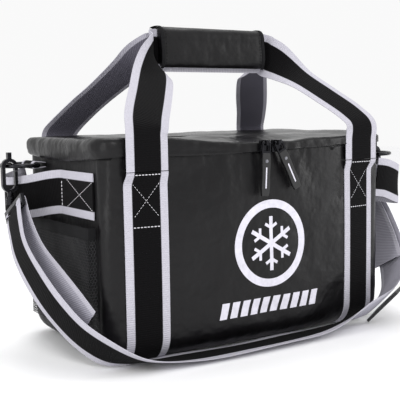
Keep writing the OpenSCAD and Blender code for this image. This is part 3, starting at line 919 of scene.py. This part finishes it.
class BAG_OT_zip(BagOperator):
    """Adds the two zip tapes with their coils, and the finish of sliders and pulls"""

    bl_idname = "bag.zip"
    bl_label = "Zip"

    def make(self, sizes):
        self.half("zip_half_body", "bag", RIM_Z + 0.3 * MM, RIM_Z - 4 * MM, "zipper_tape_body", 0)
        self.half("zip_half_lid", "lid", LID_Z + 0.2 * MM, LID_Z + 4 * MM, "zipper_tape_lid", 0.5)
        for i, side in enumerate(("left", "right")):
            for kind in ("zip_slider", "pull_tongue"):
                polish(f"{kind}_{side}", "metal", 0.35 * MM)
            self.pull(side, (3, -27)[i])

    def half(self, name, body, z, tape_z, replaced, phase):
        """One tape along three sides, with a tooth every 2.4 mm."""
        rim_span = range(BACK_LEFT + CORNER_N - PLAN_N, BACK_RIGHT + 3)
        line = [plan(-0.4 * MM)[i % PLAN_N] for i in rim_span]
        points, faces = [], []
        for height, e in ((z, 0.0), (tape_z, 0.0), (tape_z, -0.8 * MM), (z, -0.8 * MM)):
            for x, y in line:
                scale = 1 + e / HALF_D
                points.append((x * scale, y * scale, height))
        count = len(line)
        for k in range(4):
            for i in range(count - 1):
                a, b = k * count + i, ((k + 1) % 4) * count + i
                faces.append((a, a + 1, b + 1, b))
        faces += [(0, count, 2 * count, 3 * count),
                  (count - 1, 4 * count - 1, 3 * count - 1, 2 * count - 1)]
        slots = [0] * len(faces)
        run, due, pitch = 0.0, phase * 2.4 * MM, 2.4 * MM
        toward = 1 if tape_z < z else -1
        for (x0, y0), (x1, y1) in zip(line, line[1:]):
            step = math.hypot(x1 - x0, y1 - y0)
            while due < run + step:
                t = (due - run) / step
                place = Vector((mix(x0, x1, t), mix(y0, y1, t), z))
                along = Vector((x1 - x0, y1 - y0, 0)) / step
                out = Vector((along.y, -along.x, 0))
                base = len(points)
                for dz in (-0.9, 0.25):
                    for da, do in ((-0.55, -0.9), (0.55, -0.9), (0.4, 0.9), (-0.4, 0.9)):
                        points.append(place + along * da * MM + out * do * MM
                                      + Vector((0, 0, dz * toward * MM)))
                for f in TOOTH_FACES:
                    faces.append(tuple(base + v for v in f))
                    slots.append(1)
                due += pitch
            run += step
        half = mesh_piece(name, points, faces, face_slots=slots)
        outward(half)
        finish_piece(half, body, [FINISH["zip"], FINISH["coil"]], (replaced,))

    def pull(self, side, tilt):
        """A moulded tab with a pale line and a rivet, hung from its tongue."""
        slider_low, slider_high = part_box(f"zip_slider_{side}")
        axis_x = (slider_low.x + slider_high.x) / 2
        axis_y = slider_low.y + 3 * MM
        place = (Matrix.Translation((axis_x, axis_y, PULL_AXIS_Z))
                 @ Matrix.Rotation(math.radians(tilt), 4, "Y"))
        tab = primitive(f"pull_tab_moulded_{side}", bpy.ops.mesh.primitive_cube_add, size=1,
                        location=(0, 0, -36.2 * MM), scale=PULL_TAB_SIZE)
        bpy.ops.object.mode_set(mode="EDIT")
        bpy.ops.mesh.select_all(action="SELECT")
        bpy.ops.mesh.subdivide(number_cuts=5)
        bpy.ops.object.mode_set(mode="OBJECT")
        for v in tab.data.vertices:
            down = -v.co.z / (60.7 * MM)
            waist = 1 - 0.16 * math.sin(math.pi * min(1, max(0, (down - 0.2) / 0.8))) ** 2
            tip = 1 - 0.25 * smoothstep(0.93, 1.0, down) - 0.2 * smoothstep(0.3, 0.19, down)
            v.co.x *= waist * tip
            v.co.y *= mix(0.8, 1.0, smoothstep(0.2, 0.5, down)) * tip
        modify(tab, "BEVEL", width=0.9 * MM, segments=3, limit_method="ANGLE",
               angle_limit=math.radians(50))
        modify(tab, "SUBSURF", levels=1, render_levels=1)
        tab.data.transform(place)
        finish_piece(tab, f"pull_{side}", [FINISH["rubber"]], (f"pull_tab_{side}",))

        line = primitive(f"pull_line_{side}", bpy.ops.mesh.primitive_cube_add, size=1,
                         location=(0, -1.75 * MM, -40 * MM), scale=PULL_LINE_SIZE)
        modify(line, "BEVEL", width=0.4 * MM, segments=2)
        line.data.transform(place)
        finish_piece(line, f"pull_{side}", [FINISH["print"]])

        rivet = primitive(f"pull_rivet_{side}", bpy.ops.mesh.primitive_cylinder_add, vertices=28,
                          radius=2.0 * MM, depth=1.2 * MM, location=(0, -1.9 * MM, -21 * MM),
                          rotation=(math.pi / 2, 0, 0))
        modify(rivet, "BEVEL", width=0.35 * MM, segments=2, limit_method="ANGLE")
        rivet.data.transform(place)
        finish_piece(rivet, f"pull_{side}", [FINISH["rivet"]])


def polish(node, finish, edge):
    """Gives a hard node of the frame its finish and rounds its edges."""
    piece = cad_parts[node]
    piece.data.materials.clear()
    piece.data.materials.append(FINISH[finish])
    weld = piece.modifiers.new("weld", "WELD")
    weld.merge_threshold = 0.01 * MM
    bevel = piece.modifiers.new("bevel", "BEVEL")
    bevel.width = edge
    bevel.segments = 2
    bevel.limit_method = "ANGLE"
    bevel.angle_limit = math.radians(40)
    bevel.harden_normals = False


# ---------- webbing on the body ----------


def leg_rows(front, side):
    """Grid of a sewn leg: from its top, down the face and round the bottom edge."""
    columns, points, uvs = 12, [], []
    rows = [(0.0, mix(STITCH_Z + 0.5 * MM, BASE_R, i / 46), 0.0) for i in range(46)]
    rows += [(-BASE_R * (1 - math.cos(a)), BASE_R * (1 - math.sin(a)), a)
             for a in (math.radians(7.5 * k) for k in range(12))]
    run = 0.0
    for n, (e, z, a) in enumerate(rows):
        if n:
            run += math.hypot(e - rows[n - 1][0], z - rows[n - 1][1])
        lift = smoothstep(STITCH_Z - 14 * MM, STITCH_Z, z)
        for c in range(columns + 1):
            s = c / columns
            x = side * LEG_X + (s - 0.5) * WEB_W
            out = relief(x, -HALF_D, z) + 1.5 * MM - 0.4 * MM * abs(2 * s - 1) ** 6
            if front:
                y = front_line(x, e) - out * math.cos(a)
                y = mix(y, HANDLE_FRONT_Y - 0.6 * MM, lift)
            else:
                y = HALF_D + e + (relief(x, HALF_D, z) + 1.5 * MM) * math.cos(a)
                y = mix(y, HANDLE_BACK_Y + 0.6 * MM, lift)
            points.append((x, y, max(0.3 * MM, z - out * math.sin(a))))
            uvs.append((s, run / WEB_W))
    return points, grid_faces(len(rows), columns + 1, flip=front), uvs


def leg_y(x, z):
    """Outer face of a front leg between its stitch lines."""
    lift = smoothstep(STITCH_Z - 14 * MM, STITCH_Z, z)
    y = front_line(x) - relief(x, -HALF_D, z) - 1.5 * MM
    return mix(y, HANDLE_FRONT_Y - 0.6 * MM, lift) - 0.1 * MM


class BAG_OT_webbing(BagOperator):
    """Adds the webbing sewn to the front and back, with its stitching"""

    bl_idname = "bag.webbing"
    bl_label = "Sewn webbing"

    def make(self, sizes):
        for front in (True, False):
            place = "front" if front else "back"
            for name, side in (("left", -1), ("right", 1)):
                leg = mesh_piece(f"webbing_{place}_{name}", *leg_rows(front, side))
                modify(leg, "SOLIDIFY", thickness=sizes.webbing_thickness * 0.7, offset=-1)
                finish_piece(leg, "bag", [FINISH["webbing"]],
                             [f"{place}_webbing_{name}"])
                if front:
                    self.sew(name, side)

    def sew(self, name, side):
        """Dashed rows at the top and bottom, and a cross between them."""
        inner = WEB_W * 0.31
        middle = side * LEG_X
        front = (0, -1, 0)

        def line(x0, z0, x1, z1):
            return [((mix(x0, x1, t / 24), leg_y(mix(x0, x1, t / 24), mix(z0, z1, t / 24)),
                      mix(z0, z1, t / 24)), front) for t in range(25)]

        top, bottom = STITCH_Z - 2 * MM, LOWER_STITCH_Z
        rows = [line(middle - inner, z, middle + inner, z) for z in (top, bottom)]
        seam = stitches(f"stitch_rows_{name}", rows, 2.8 * MM, 1.1 * MM, 0.5 * MM)
        finish_piece(seam, "bag", [FINISH["thread"]])
        cross = [line(middle - inner, top - 9 * MM, middle + inner, bottom + 9 * MM),
                 line(middle + inner, top - 9 * MM, middle - inner, bottom + 9 * MM)]
        cross_seam = stitches(f"stitch_cross_{name}", cross, 2.4 * MM, 1.2 * MM, 0.24 * MM)
        finish_piece(cross_seam, "bag", [FINISH["thread"]])


# ---------- handles and grip ----------

GRIP_X = (GRIP_LOW.x + GRIP_HIGH.x) / 2 / MM
FRONT_HANDLE_ROUTE = in_metres([
    [[-152, -118.5, 210.5], [1, 0, 0]],
    [[-152, -118.5, 218], [1, 0, 0]],
    [[-152, -118.5, 234], [1, 0, 0]],
    [[-152, -118.5, 254], [1, 0, 0]],
    [[-144, -106, 270], [0.96, -0.12, -0.15]],
    [[-126, -82, 291], [0.9, -0.22, -0.25]],
    [[-108, -57, 312], [0.87, -0.25, -0.35]],
    [[-94, -37, 329], [0.6, -0.15, -0.75]],
    [[-87, -21, 340], [0.1, -0.03, -0.98]],
    [[GRIP_X - 80, -13.1, 345.3], [0, 0, -1]],
    [[GRIP_X - 66, -13, 345.5], [0, 0, -1]],
    [[GRIP_X, -13, 345.5], [0, 0, -1]],
    [[GRIP_X + 66, -13, 345.5], [0, 0, -1]],
    [[GRIP_X + 80, -13.1, 345.3], [0, 0, -1]],
    [[83, -21, 340], [-0.1, -0.03, -0.98]],
    [[92, -37, 329], [-0.6, -0.15, -0.75]],
    [[107, -57, 312], [-0.87, -0.25, -0.35]],
    [[126, -82, 291], [-0.9, -0.22, -0.25]],
    [[144, -106, 270], [-0.96, -0.12, -0.15]],
    [[152, -118.5, 254], [-1, 0, 0]],
    [[152, -118.5, 234], [-1, 0, 0]],
    [[152, -118.5, 218], [-1, 0, 0]],
    [[152, -118.5, 210.5], [-1, 0, 0]]])
BACK_HANDLE_ROUTE = in_metres([
    [[-152, 110.4, 210.5], [1, 0, 0]],
    [[-152, 110.4, 218], [1, 0, 0]],
    [[-152, 110.4, 234], [1, 0, 0]],
    [[-150, 110.4, 250], [1, 0, -0.05]],
    [[-133, 84, 277], [0.9, 0.25, -0.25]],
    [[-114, 57, 301], [0.88, 0.32, -0.32]],
    [[-95, 29, 325], [0.75, 0.3, -0.55]],
    [[-84, 11, 338], [0.3, 0.1, -0.93]],
    [[GRIP_X - 74, 0, 345], [0, 0, -1]],
    [[GRIP_X - 64, -2, 345.5], [0, 0, -1]],
    [[GRIP_X, -2, 345.5], [0, 0, -1]],
    [[GRIP_X + 64, -2, 345.5], [0, 0, -1]],
    [[GRIP_X + 74, 0, 345], [0, 0, -1]],
    [[80, 11, 338], [-0.3, 0.1, -0.93]],
    [[93, 29, 325], [-0.75, 0.3, -0.55]],
    [[113, 57, 301], [-0.88, 0.32, -0.32]],
    [[133, 84, 277], [-0.9, 0.25, -0.25]],
    [[150, 110.4, 250], [-1, 0, -0.05]],
    [[152, 110.4, 234], [-1, 0, 0]],
    [[152, 110.4, 218], [-1, 0, 0]],
    [[152, 110.4, 210.5], [-1, 0, 0]]])


class BAG_OT_handles(BagOperator):
    """Adds the two carrying handles, which bend where they leave the body"""

    bl_idname = "bag.handles"
    bl_label = "Handles"

    def make(self, sizes):
        for name, route, y, width in (("front", FRONT_HANDLE_ROUTE, HANDLE_FRONT_Y, WEB_W),
                                      ("back", BACK_HANDLE_ROUTE, HANDLE_BACK_Y, WEB_W * 0.94)):
            handle = ribbon(f"carry_handle_{name}", through(route, 8), width,
                            sizes.webbing_thickness, curl=0.4 * MM,
                            switch=lambda i, back=(name == "back"): not back)
            # The back handle's underside takes the copy with painted shade, the front handle's the
            # lit copy
            under = FINISH["underside" if name == "front" else "underside_painted_shade"]
            finish_piece(handle, None, [FINISH["webbing"], under],
                         [f"handle_{name}"])
            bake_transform(handle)


def grip_section():
    """(y, z) round the wrap: from the inner lower edge, down the front, over the top and back."""
    front, inner = GRIP_LOW.y, -14.3 * MM
    bottom, top, back = GRIP_LOW.z, GRIP_HIGH.z, GRIP_HIGH.y
    return [
        (inner, bottom + 1 * MM), (front + 4 * MM, bottom), (front + 0.8 * MM, bottom + 4 * MM),
        (front - 0.8 * MM, bottom + 12 * MM), (front - 0.6 * MM, bottom + 24 * MM),
        (front + 1.6 * MM, top - 17.5 * MM), (front + 0.6 * MM, top - 14 * MM),
        (front + 1.0 * MM, top - 9 * MM), (front + 3.6 * MM, top - 3.4 * MM),
        (front + 9 * MM, top - 0.2 * MM), (mix(front, back, 0.62), top + 0.2 * MM),
        (back - 3 * MM, top - 0.4 * MM), (back, top - 1.8 * MM), (back - 0.6 * MM, top - 3.2 * MM),
        (mix(front, back, 0.6), top - 3.3 * MM), (inner, top - 3.3 * MM),
        (inner, bottom + 24 * MM),
    ]


class BAG_OT_grip(BagOperator):
    """Adds the padded grip wrap with its bound ends and seam stitching"""

    bl_idname = "bag.grip"
    bl_label = "Grip"

    def make(self, sizes):
        section = grip_section()
        count = len(section)
        steps = 48
        x0, x1 = GRIP_LOW.x, GRIP_HIGH.x
        points = []
        for i in range(steps + 1):
            t = i / steps
            x = mix(x0, x1, t)
            for k, (y, z) in enumerate(section):
                outer = 1 <= k <= 12
                swell = 0.9 * math.sin(math.pi * t) ** 0.5 if outer else 0
                dent = 0.5 * ripple(x, y, z, 16 * MM) if outer else 0
                lengthwise = -(swell + dent) * MM if y < -18 * MM else 0
                points.append((x, y + lengthwise, z + (0.3 * MM * dent if outer else 0)))
        faces = grid_faces(steps + 1, count, closed=True)
        faces.append(tuple(reversed(range(count))))
        faces.append(tuple(steps * count + k for k in range(count)))
        wrap = mesh_piece("grip_cover", points, faces)
        outward(wrap)
        modify(wrap, "SUBSURF", levels=1, render_levels=1)
        finish_piece(wrap, "handle_front_loop", [FINISH["grip"]], ("grip_wrap",),
                     angle=55)
        self.bindings(section, x0, x1)

    def bindings(self, section, x0, x1):
        """A narrow folded tape over each end, with a row of stitches beside it."""
        outer = section[1:13]
        for name, x, inward in (("left", x0, 1), ("right", x1, -1)):
            points = []
            for dx, grow in ((-0.4, 0.2), (-0.7, 0.9), (3.2, 1.1), (4.0, 0.3)):
                for y, z in outer:
                    push_y = -grow * MM if y < -12 * MM else 0
                    push_z = grow * MM * (0.8 if z > GRIP_HIGH.z - 8 * MM else
                                          -0.8 if z < GRIP_LOW.z + 3 * MM else 0)
                    points.append((x + inward * dx * MM, y + push_y, z + push_z))
            binding = mesh_piece(f"grip_binding_{name}", points, grid_faces(4, len(outer)))
            modify(binding, "SOLIDIFY", thickness=0.5 * MM, offset=0)
            outward(binding)
            modify(binding, "SUBSURF", levels=1, render_levels=1)
            finish_piece(binding, "handle_front_loop", [FINISH["binding"]])
            path = [((x + inward * 6 * MM, y - 0.9 * MM if y < -14 * MM else y,
                      z + (0.4 * MM if y > -20 * MM else 0)),
                     (0, -1, 0.2)) for y, z in outer[1:9]]
            seam = stitches(f"grip_stitching_{name}", [path], 2.4 * MM, 1.4 * MM, 0.28 * MM)
            finish_piece(seam, "handle_front_loop", [FINISH["binding"]])


# ---------- ends ----------


def band_route(bow):
    """Centres of an end band; bow is how much further out its loose part stands."""
    x = -(HALF_L / MM + 1.3)
    return in_metres([
        [[x, -84, 184], [0, 0, 1]],
        [[x, -40, 184], [0, 0, 1]],
        [[x, -12, 184], [0, 0, 1]],
        [[x - 1, 2, 184], [0, 0, 1]],
        [[x - 8, 18, 182], [0, 0, 1]],
        [[-222 + bow * 0.6, 42, 177], [0, 0, 1]],
        [[-237 - bow, 66 + bow, 174 - bow * 0.4], [0, 0, 1]],
        [[-235 - bow, 84 + bow * 0.6, 176 - bow * 0.4], [0, 0, 1]],
        [[-215 - bow * 0.5, 93 + bow * 0.3, 181], [0, 0, 1]],
        [[x - 2, 96, 184], [0, 0, 1]]])


def to_right_end(piece):
    """Turns a piece of the left end half round, to the right end."""
    piece.data.transform(Matrix.Rotation(math.pi, 4, "Z"))


class BAG_OT_ends(BagOperator):
    """Adds the bands, ring tabs, mesh pockets and stitching of both ends"""

    bl_idname = "bag.ends"
    bl_label = "End fittings"

    def make(self, sizes):
        for side, bow in (("left", 0), ("right", 10)):
            pieces = [self.band(side, bow), self.band_stitches(side), self.ring_tab(side),
                      self.pocket_net(side, sizes.mesh_pitch), self.pocket_binding(side)]
            if side == "right":
                for piece in pieces:
                    to_right_end(piece)
            for kind in ("d_ring", "snap_hook", "hook_gate", "swivel", "strap_loop"):
                polish(f"{kind}_{side}", "metal", 0.3 * MM)

    def band(self, side, bow):
        band = ribbon(f"band_{side}", through(band_route(bow), 8), WEB_W, 1.7 * MM, curl=0.2 * MM,
                      switch=lambda i: True)
        return finish_piece(band, "bag", [FINISH["webbing"], FINISH["underside"]],
                            [f"end_band_{side}"])

    def band_stitches(self, side):
        """An upright row where the band leaves the bag, and a cross in its sewn part."""
        x = -HALF_L - 2.4 * MM
        out = (-1, 0, 0)
        inner = WEB_W * 0.31
        z = 184 * MM

        def line(y0, z0, y1, z1):
            return [((x, y0, z0), out), ((x, y1, z1), out)]

        row = stitches(f"band_stitch_row_{side}", [line(-4 * MM, z - inner, -4 * MM, z + inner)],
                       2.8 * MM, 1.3 * MM, 0.5 * MM)
        cross = stitches(f"band_stitch_cross_{side}",
                         [line(-18 * MM, z + inner, -84 * MM, z - inner),
                          line(-18 * MM, z - inner, -84 * MM, z + inner)],
                         2.4 * MM, 1.4 * MM, 0.3 * MM)
        pick(cross, row)
        bpy.ops.object.join()
        return finish_piece(bpy.context.object, "bag", [FINISH["thread"]])

    def ring_tab(self, side):
        """A short fold of webbing sewn to the end round the ring's straight bar."""
        a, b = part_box(f"ring_tab_{side}")
        width = b.y - a.y
        z = (a.z + b.z) / 2
        bar = -(HALF_L + 12.4 * MM)
        rows = [[Vector((-HALF_L - 0.2 * MM, 64 * MM, z - 2.6 * MM)), Vector((0, 1, 0))]]
        for k in range(13):
            t = math.radians(-90 - 15 * k)
            rows.append([Vector((bar + 4.1 * MM * math.cos(t), 64 * MM,
                                 z + 4.1 * MM * math.sin(t))),
                         Vector((0, 1, 0))])
        rows.append([Vector((-HALF_L - 0.2 * MM, 64 * MM, z + 2.6 * MM)), Vector((0, 1, 0))])
        tab = ribbon(f"ring_tab_webbing_{side}", through(rows, 2), width, 1.2 * MM)
        return finish_piece(tab, "bag", [FINISH["webbing"], FINISH["webbing"]],
                            [f"ring_tab_{side}"])

    def net_place(self, a, b, half, gap):
        """Where a point of the flat net, a along and b up, lies on the pocket."""
        depth = gap + 2.2 * MM * math.sin(math.pi * (a / half + 1) / 2) if abs(a) < half else gap
        if abs(a) < half:
            return (-HALF_L - depth - 0.7 * MM * ripple(a, b, 0, 22 * MM), a, b)
        return (-HALF_L - max(0, gap - (abs(a) - half)), math.copysign(half, a), b)

    def pocket_net(self, side, pitch):
        """A real six-sided net over the pocket's face and its two gussets."""
        half, gap = HALF_D - CORNER_R - 4.4 * MM, 8.6 * MM
        bottom, top = BASE_R + 0.5 * MM, 138.5 * MM
        reach = half + gap
        size = pitch / math.sqrt(3)
        seen, points, faces = {}, [], []
        rows = int((top - bottom) / (1.5 * size)) + 1
        columns = int(2 * reach / pitch) + 1
        for r in range(rows):
            for c in range(columns):
                cx = -reach + pitch * (c + 0.5 * (r % 2)) + pitch / 2
                cz = bottom + 1.5 * size * r + size / 2
                face = []
                for k in range(6):
                    t = math.radians(60 * k + 30)
                    a = min(reach, max(-reach, cx + size * math.cos(t)))
                    b = min(top, max(bottom, cz + size * math.sin(t)))
                    key = (round(a / (0.02 * MM)), round(b / (0.02 * MM)))
                    if key not in seen:
                        seen[key] = len(points)
                        points.append(self.net_place(a, b, half, gap))
                    if seen[key] not in face:
                        face.append(seen[key])
                if len(face) > 2:
                    faces.append(tuple(face))
        net = mesh_piece(f"pocket_net_{side}", points, faces)
        modify(net, "WIREFRAME", thickness=0.75 * MM, use_even_offset=False, use_boundary=True)
        return finish_piece(net, "bag", [FINISH["mesh"]], [f"pocket_mesh_{side}"])

    def pocket_binding(self, side):
        """Folded tape along the pocket's mouth, slightly wavy."""
        half, gap = HALF_D - CORNER_R - 3 * MM, 9.5 * MM
        rows = []
        reach = half + gap
        count = 64
        for i in range(count + 1):
            a = mix(-reach, reach, i / count)
            if abs(a) < half:
                x = -HALF_L - gap - (1.6 * math.sin(math.pi * (a / half + 1) / 2)
                                     + 0.6 * ripple(a, 0, 0, 20 * MM)) * MM
                y = a
            else:
                x = -HALF_L - max(0.5 * MM, gap - (abs(a) - half))
                y = math.copysign(half, a)
            rows.append([Vector((x, y, (144.5 + 0.8 * ripple(a, 1, 0, 30 * MM)) * MM)),
                         Vector((0, 0, -1))])
        tape = ribbon(f"pocket_tape_{side}", rows, 13 * MM, 1.6 * MM, columns=6, curl=-0.4 * MM)
        return finish_piece(tape, "bag", [FINISH["binding"], FINISH["binding"]],
                            [f"pocket_binding_{side}"])


# ---------- buckle ----------


class BAG_OT_buckle(BagOperator):
    """Finishes the three-bar buckle, the base layers and the hinge strip"""

    bl_idname = "bag.buckle"
    bl_label = "Buckle and inner layers"

    def make(self, sizes):
        polish("tri_glide", "plastic", 0.7 * MM)
        self.inner("base_board", "board", "stiffener_board")
        self.inner("base_foam", "foam", "foam")
        self.hinge()

    def inner(self, node, finish, slot):
        """A copy of an inner sheet with rounded edges."""
        piece = bpy.data.objects.new(f"{node}_sheet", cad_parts[node].data.copy())
        bpy.context.scene.collection.objects.link(piece)
        piece.data.materials.clear()
        modify(piece, "WELD", merge_threshold=0.01 * MM)
        modify(piece, "BEVEL", width=0.8 * MM, segments=2, limit_method="ANGLE")
        finish_piece(piece, "bag", [FINISH[finish]], (node,))

    def hinge(self):
        """The strip along the back that the lid turns on, bent between body and lid."""
        a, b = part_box("hinge_tape")
        columns, rows = 60, 12
        points = []
        for r in range(rows + 1):
            z = mix(a.z, LID_Z + 3 * MM, r / rows)
            for c in range(columns + 1):
                x = mix(a.x, b.x, c / columns)
                bow = 0.5 * MM * math.sin(math.pi * r / rows) + 0.2 * MM * ripple(x, z, 0, 9 * MM)
                lean = 2.1 * MM * smoothstep(RIM_Z - 2 * MM, LID_Z + 2 * MM, z)
                points.append((x, HALF_D + 2.2 * MM + bow + lean, z))
        faces = [tuple(reversed(f)) for f in grid_faces(rows + 1, columns + 1)]
        strip = mesh_piece("hinge_strip", points, faces)
        modify(strip, "SOLIDIFY", thickness=1 * MM, offset=-1)
        outward(strip)
        finish_piece(strip, None, [FINISH["ends"]], ("hinge_tape",))
        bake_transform(strip)


# ---------- printed design ----------

PRINT_X = 7 * MM
PRINT_OUT = 0.35 * MM
PRINT_Z = 119 * MM
BAR_Z = (38 * MM, 56 * MM)
BAR_X = (-66 * MM, 84 * MM)


def on_front(x, z):
    """A point of the print, just off the filled front."""
    return Vector((x, front_line(x) - relief(x, -HALF_D, z) - PRINT_OUT, z))


class BAG_OT_print(BagOperator):
    """Adds the generic printed ring with a plain six-armed star, and a row of slanted bars"""

    bl_idname = "bag.print"
    bl_label = "Printed design"

    def make(self, sizes):
        self.ring(sizes.ring_radius)
        self.star(sizes.ring_radius * 0.62)
        self.bars()

    def patch(self, name, points, faces):
        piece = mesh_piece(name, points, faces)
        outer = piece.data.polygons[0].normal.y < 0
        if not outer:
            piece.data.flip_normals()
        modify(piece, "SOLIDIFY", thickness=0.25 * MM, offset=-1)
        return finish_piece(piece, "bag", [FINISH["print"]])

    def ring(self, radius):
        points, count, bands = [], 96, 4
        for b in range(bands + 1):
            r = radius * mix(0.815, 1.0, b / bands)
            for i in range(count):
                t = 2 * math.pi * i / count
                points.append(on_front(PRINT_X + r * math.cos(t), PRINT_Z + r * math.sin(t)))
        self.patch("printed_ring", points, grid_faces(bands + 1, count, closed=True))

    def star(self, radius):
        """Three crossing bars with short side arms: a plain snow star."""
        points, faces = [], []

        def bar(x0, z0, x1, z1, width):
            steps = 14
            along = Vector((x1 - x0, z1 - z0)).normalized()
            side = Vector((-along.y, along.x)) * width / 2
            base = len(points)
            for i in range(steps + 1):
                x, z = mix(x0, x1, i / steps), mix(z0, z1, i / steps)
                for s in (-1, 0, 1):
                    points.append(on_front(PRINT_X + x + side.x * s, PRINT_Z + z + side.y * s))
            faces.extend(tuple(base + v for v in f) for f in grid_faces(steps + 1, 3))

        for k in range(6):
            a = math.radians(60 * k + 30)
            c, s = math.cos(a), math.sin(a)
            bar(0, 0, radius * c, radius * s, 0.15 * radius)
            for turn in (-1, 1):
                b = a + turn * math.radians(60)
                bar(0.58 * radius * c, 0.58 * radius * s,
                    0.58 * radius * c + 0.3 * radius * math.cos(b),
                    0.58 * radius * s + 0.3 * radius * math.sin(b), 0.11 * radius)
        self.patch("printed_star", points, faces)

    def bars(self):
        """Ten even slanted bars."""
        points, faces = [], []
        count, slant = 10, 5 * MM
        pitch = (BAR_X[1] - BAR_X[0] - slant) / count
        for n in range(count):
            base = len(points)
            for r in range(6):
                z = mix(BAR_Z[0], BAR_Z[1], r / 5)
                for c in range(4):
                    x = BAR_X[0] + n * pitch + pitch * 0.68 * c / 3 + slant * r / 5
                    points.append(on_front(x, z))
            faces.extend(tuple(base + v for v in f) for f in grid_faces(6, 4))
        self.patch("printed_bars", points, faces)


# ---------- panel and run ----------

OPERATORS = (BAG_OT_stage, BAG_OT_strap, BAG_OT_body, BAG_OT_lid, BAG_OT_zip, BAG_OT_webbing,
             BAG_OT_handles, BAG_OT_grip, BAG_OT_ends, BAG_OT_buckle, BAG_OT_print)


class BAG_PT_panel(bpy.types.Panel):
    """Lists the operators of the bag"""

    bl_idname = "BAG_PT_panel"
    bl_label = "Hockey equipment bag"
    bl_space_type = "VIEW_3D"
    bl_region_type = "UI"
    bl_category = "Bag"

    def draw(self, context):
        for operator in OPERATORS:
            self.layout.operator(operator.bl_idname)
        for group in (context.scene.bag_sizes, context.scene.bag_colours):
            for key in group.bl_rna.properties.keys():
                if key not in ("rna_type", "name"):
                    self.layout.prop(group, key)


CLASSES = (BagColours, BagSizes, *OPERATORS, BAG_PT_panel)


def register():
    for entry in CLASSES:
        bpy.utils.register_class(entry)
    bpy.types.Scene.bag_colours = bpy.props.PointerProperty(type=BagColours)
    bpy.types.Scene.bag_sizes = bpy.props.PointerProperty(type=BagSizes)


def unregister():
    del bpy.types.Scene.bag_sizes
    del bpy.types.Scene.bag_colours
    for entry in reversed(CLASSES):
        bpy.utils.unregister_class(entry)


def main():
    register()
    for operator in OPERATORS:
        group, name = operator.bl_idname.split(".")
        getattr(getattr(bpy.ops, group), name)()


if __name__ == "__main__":
    main()
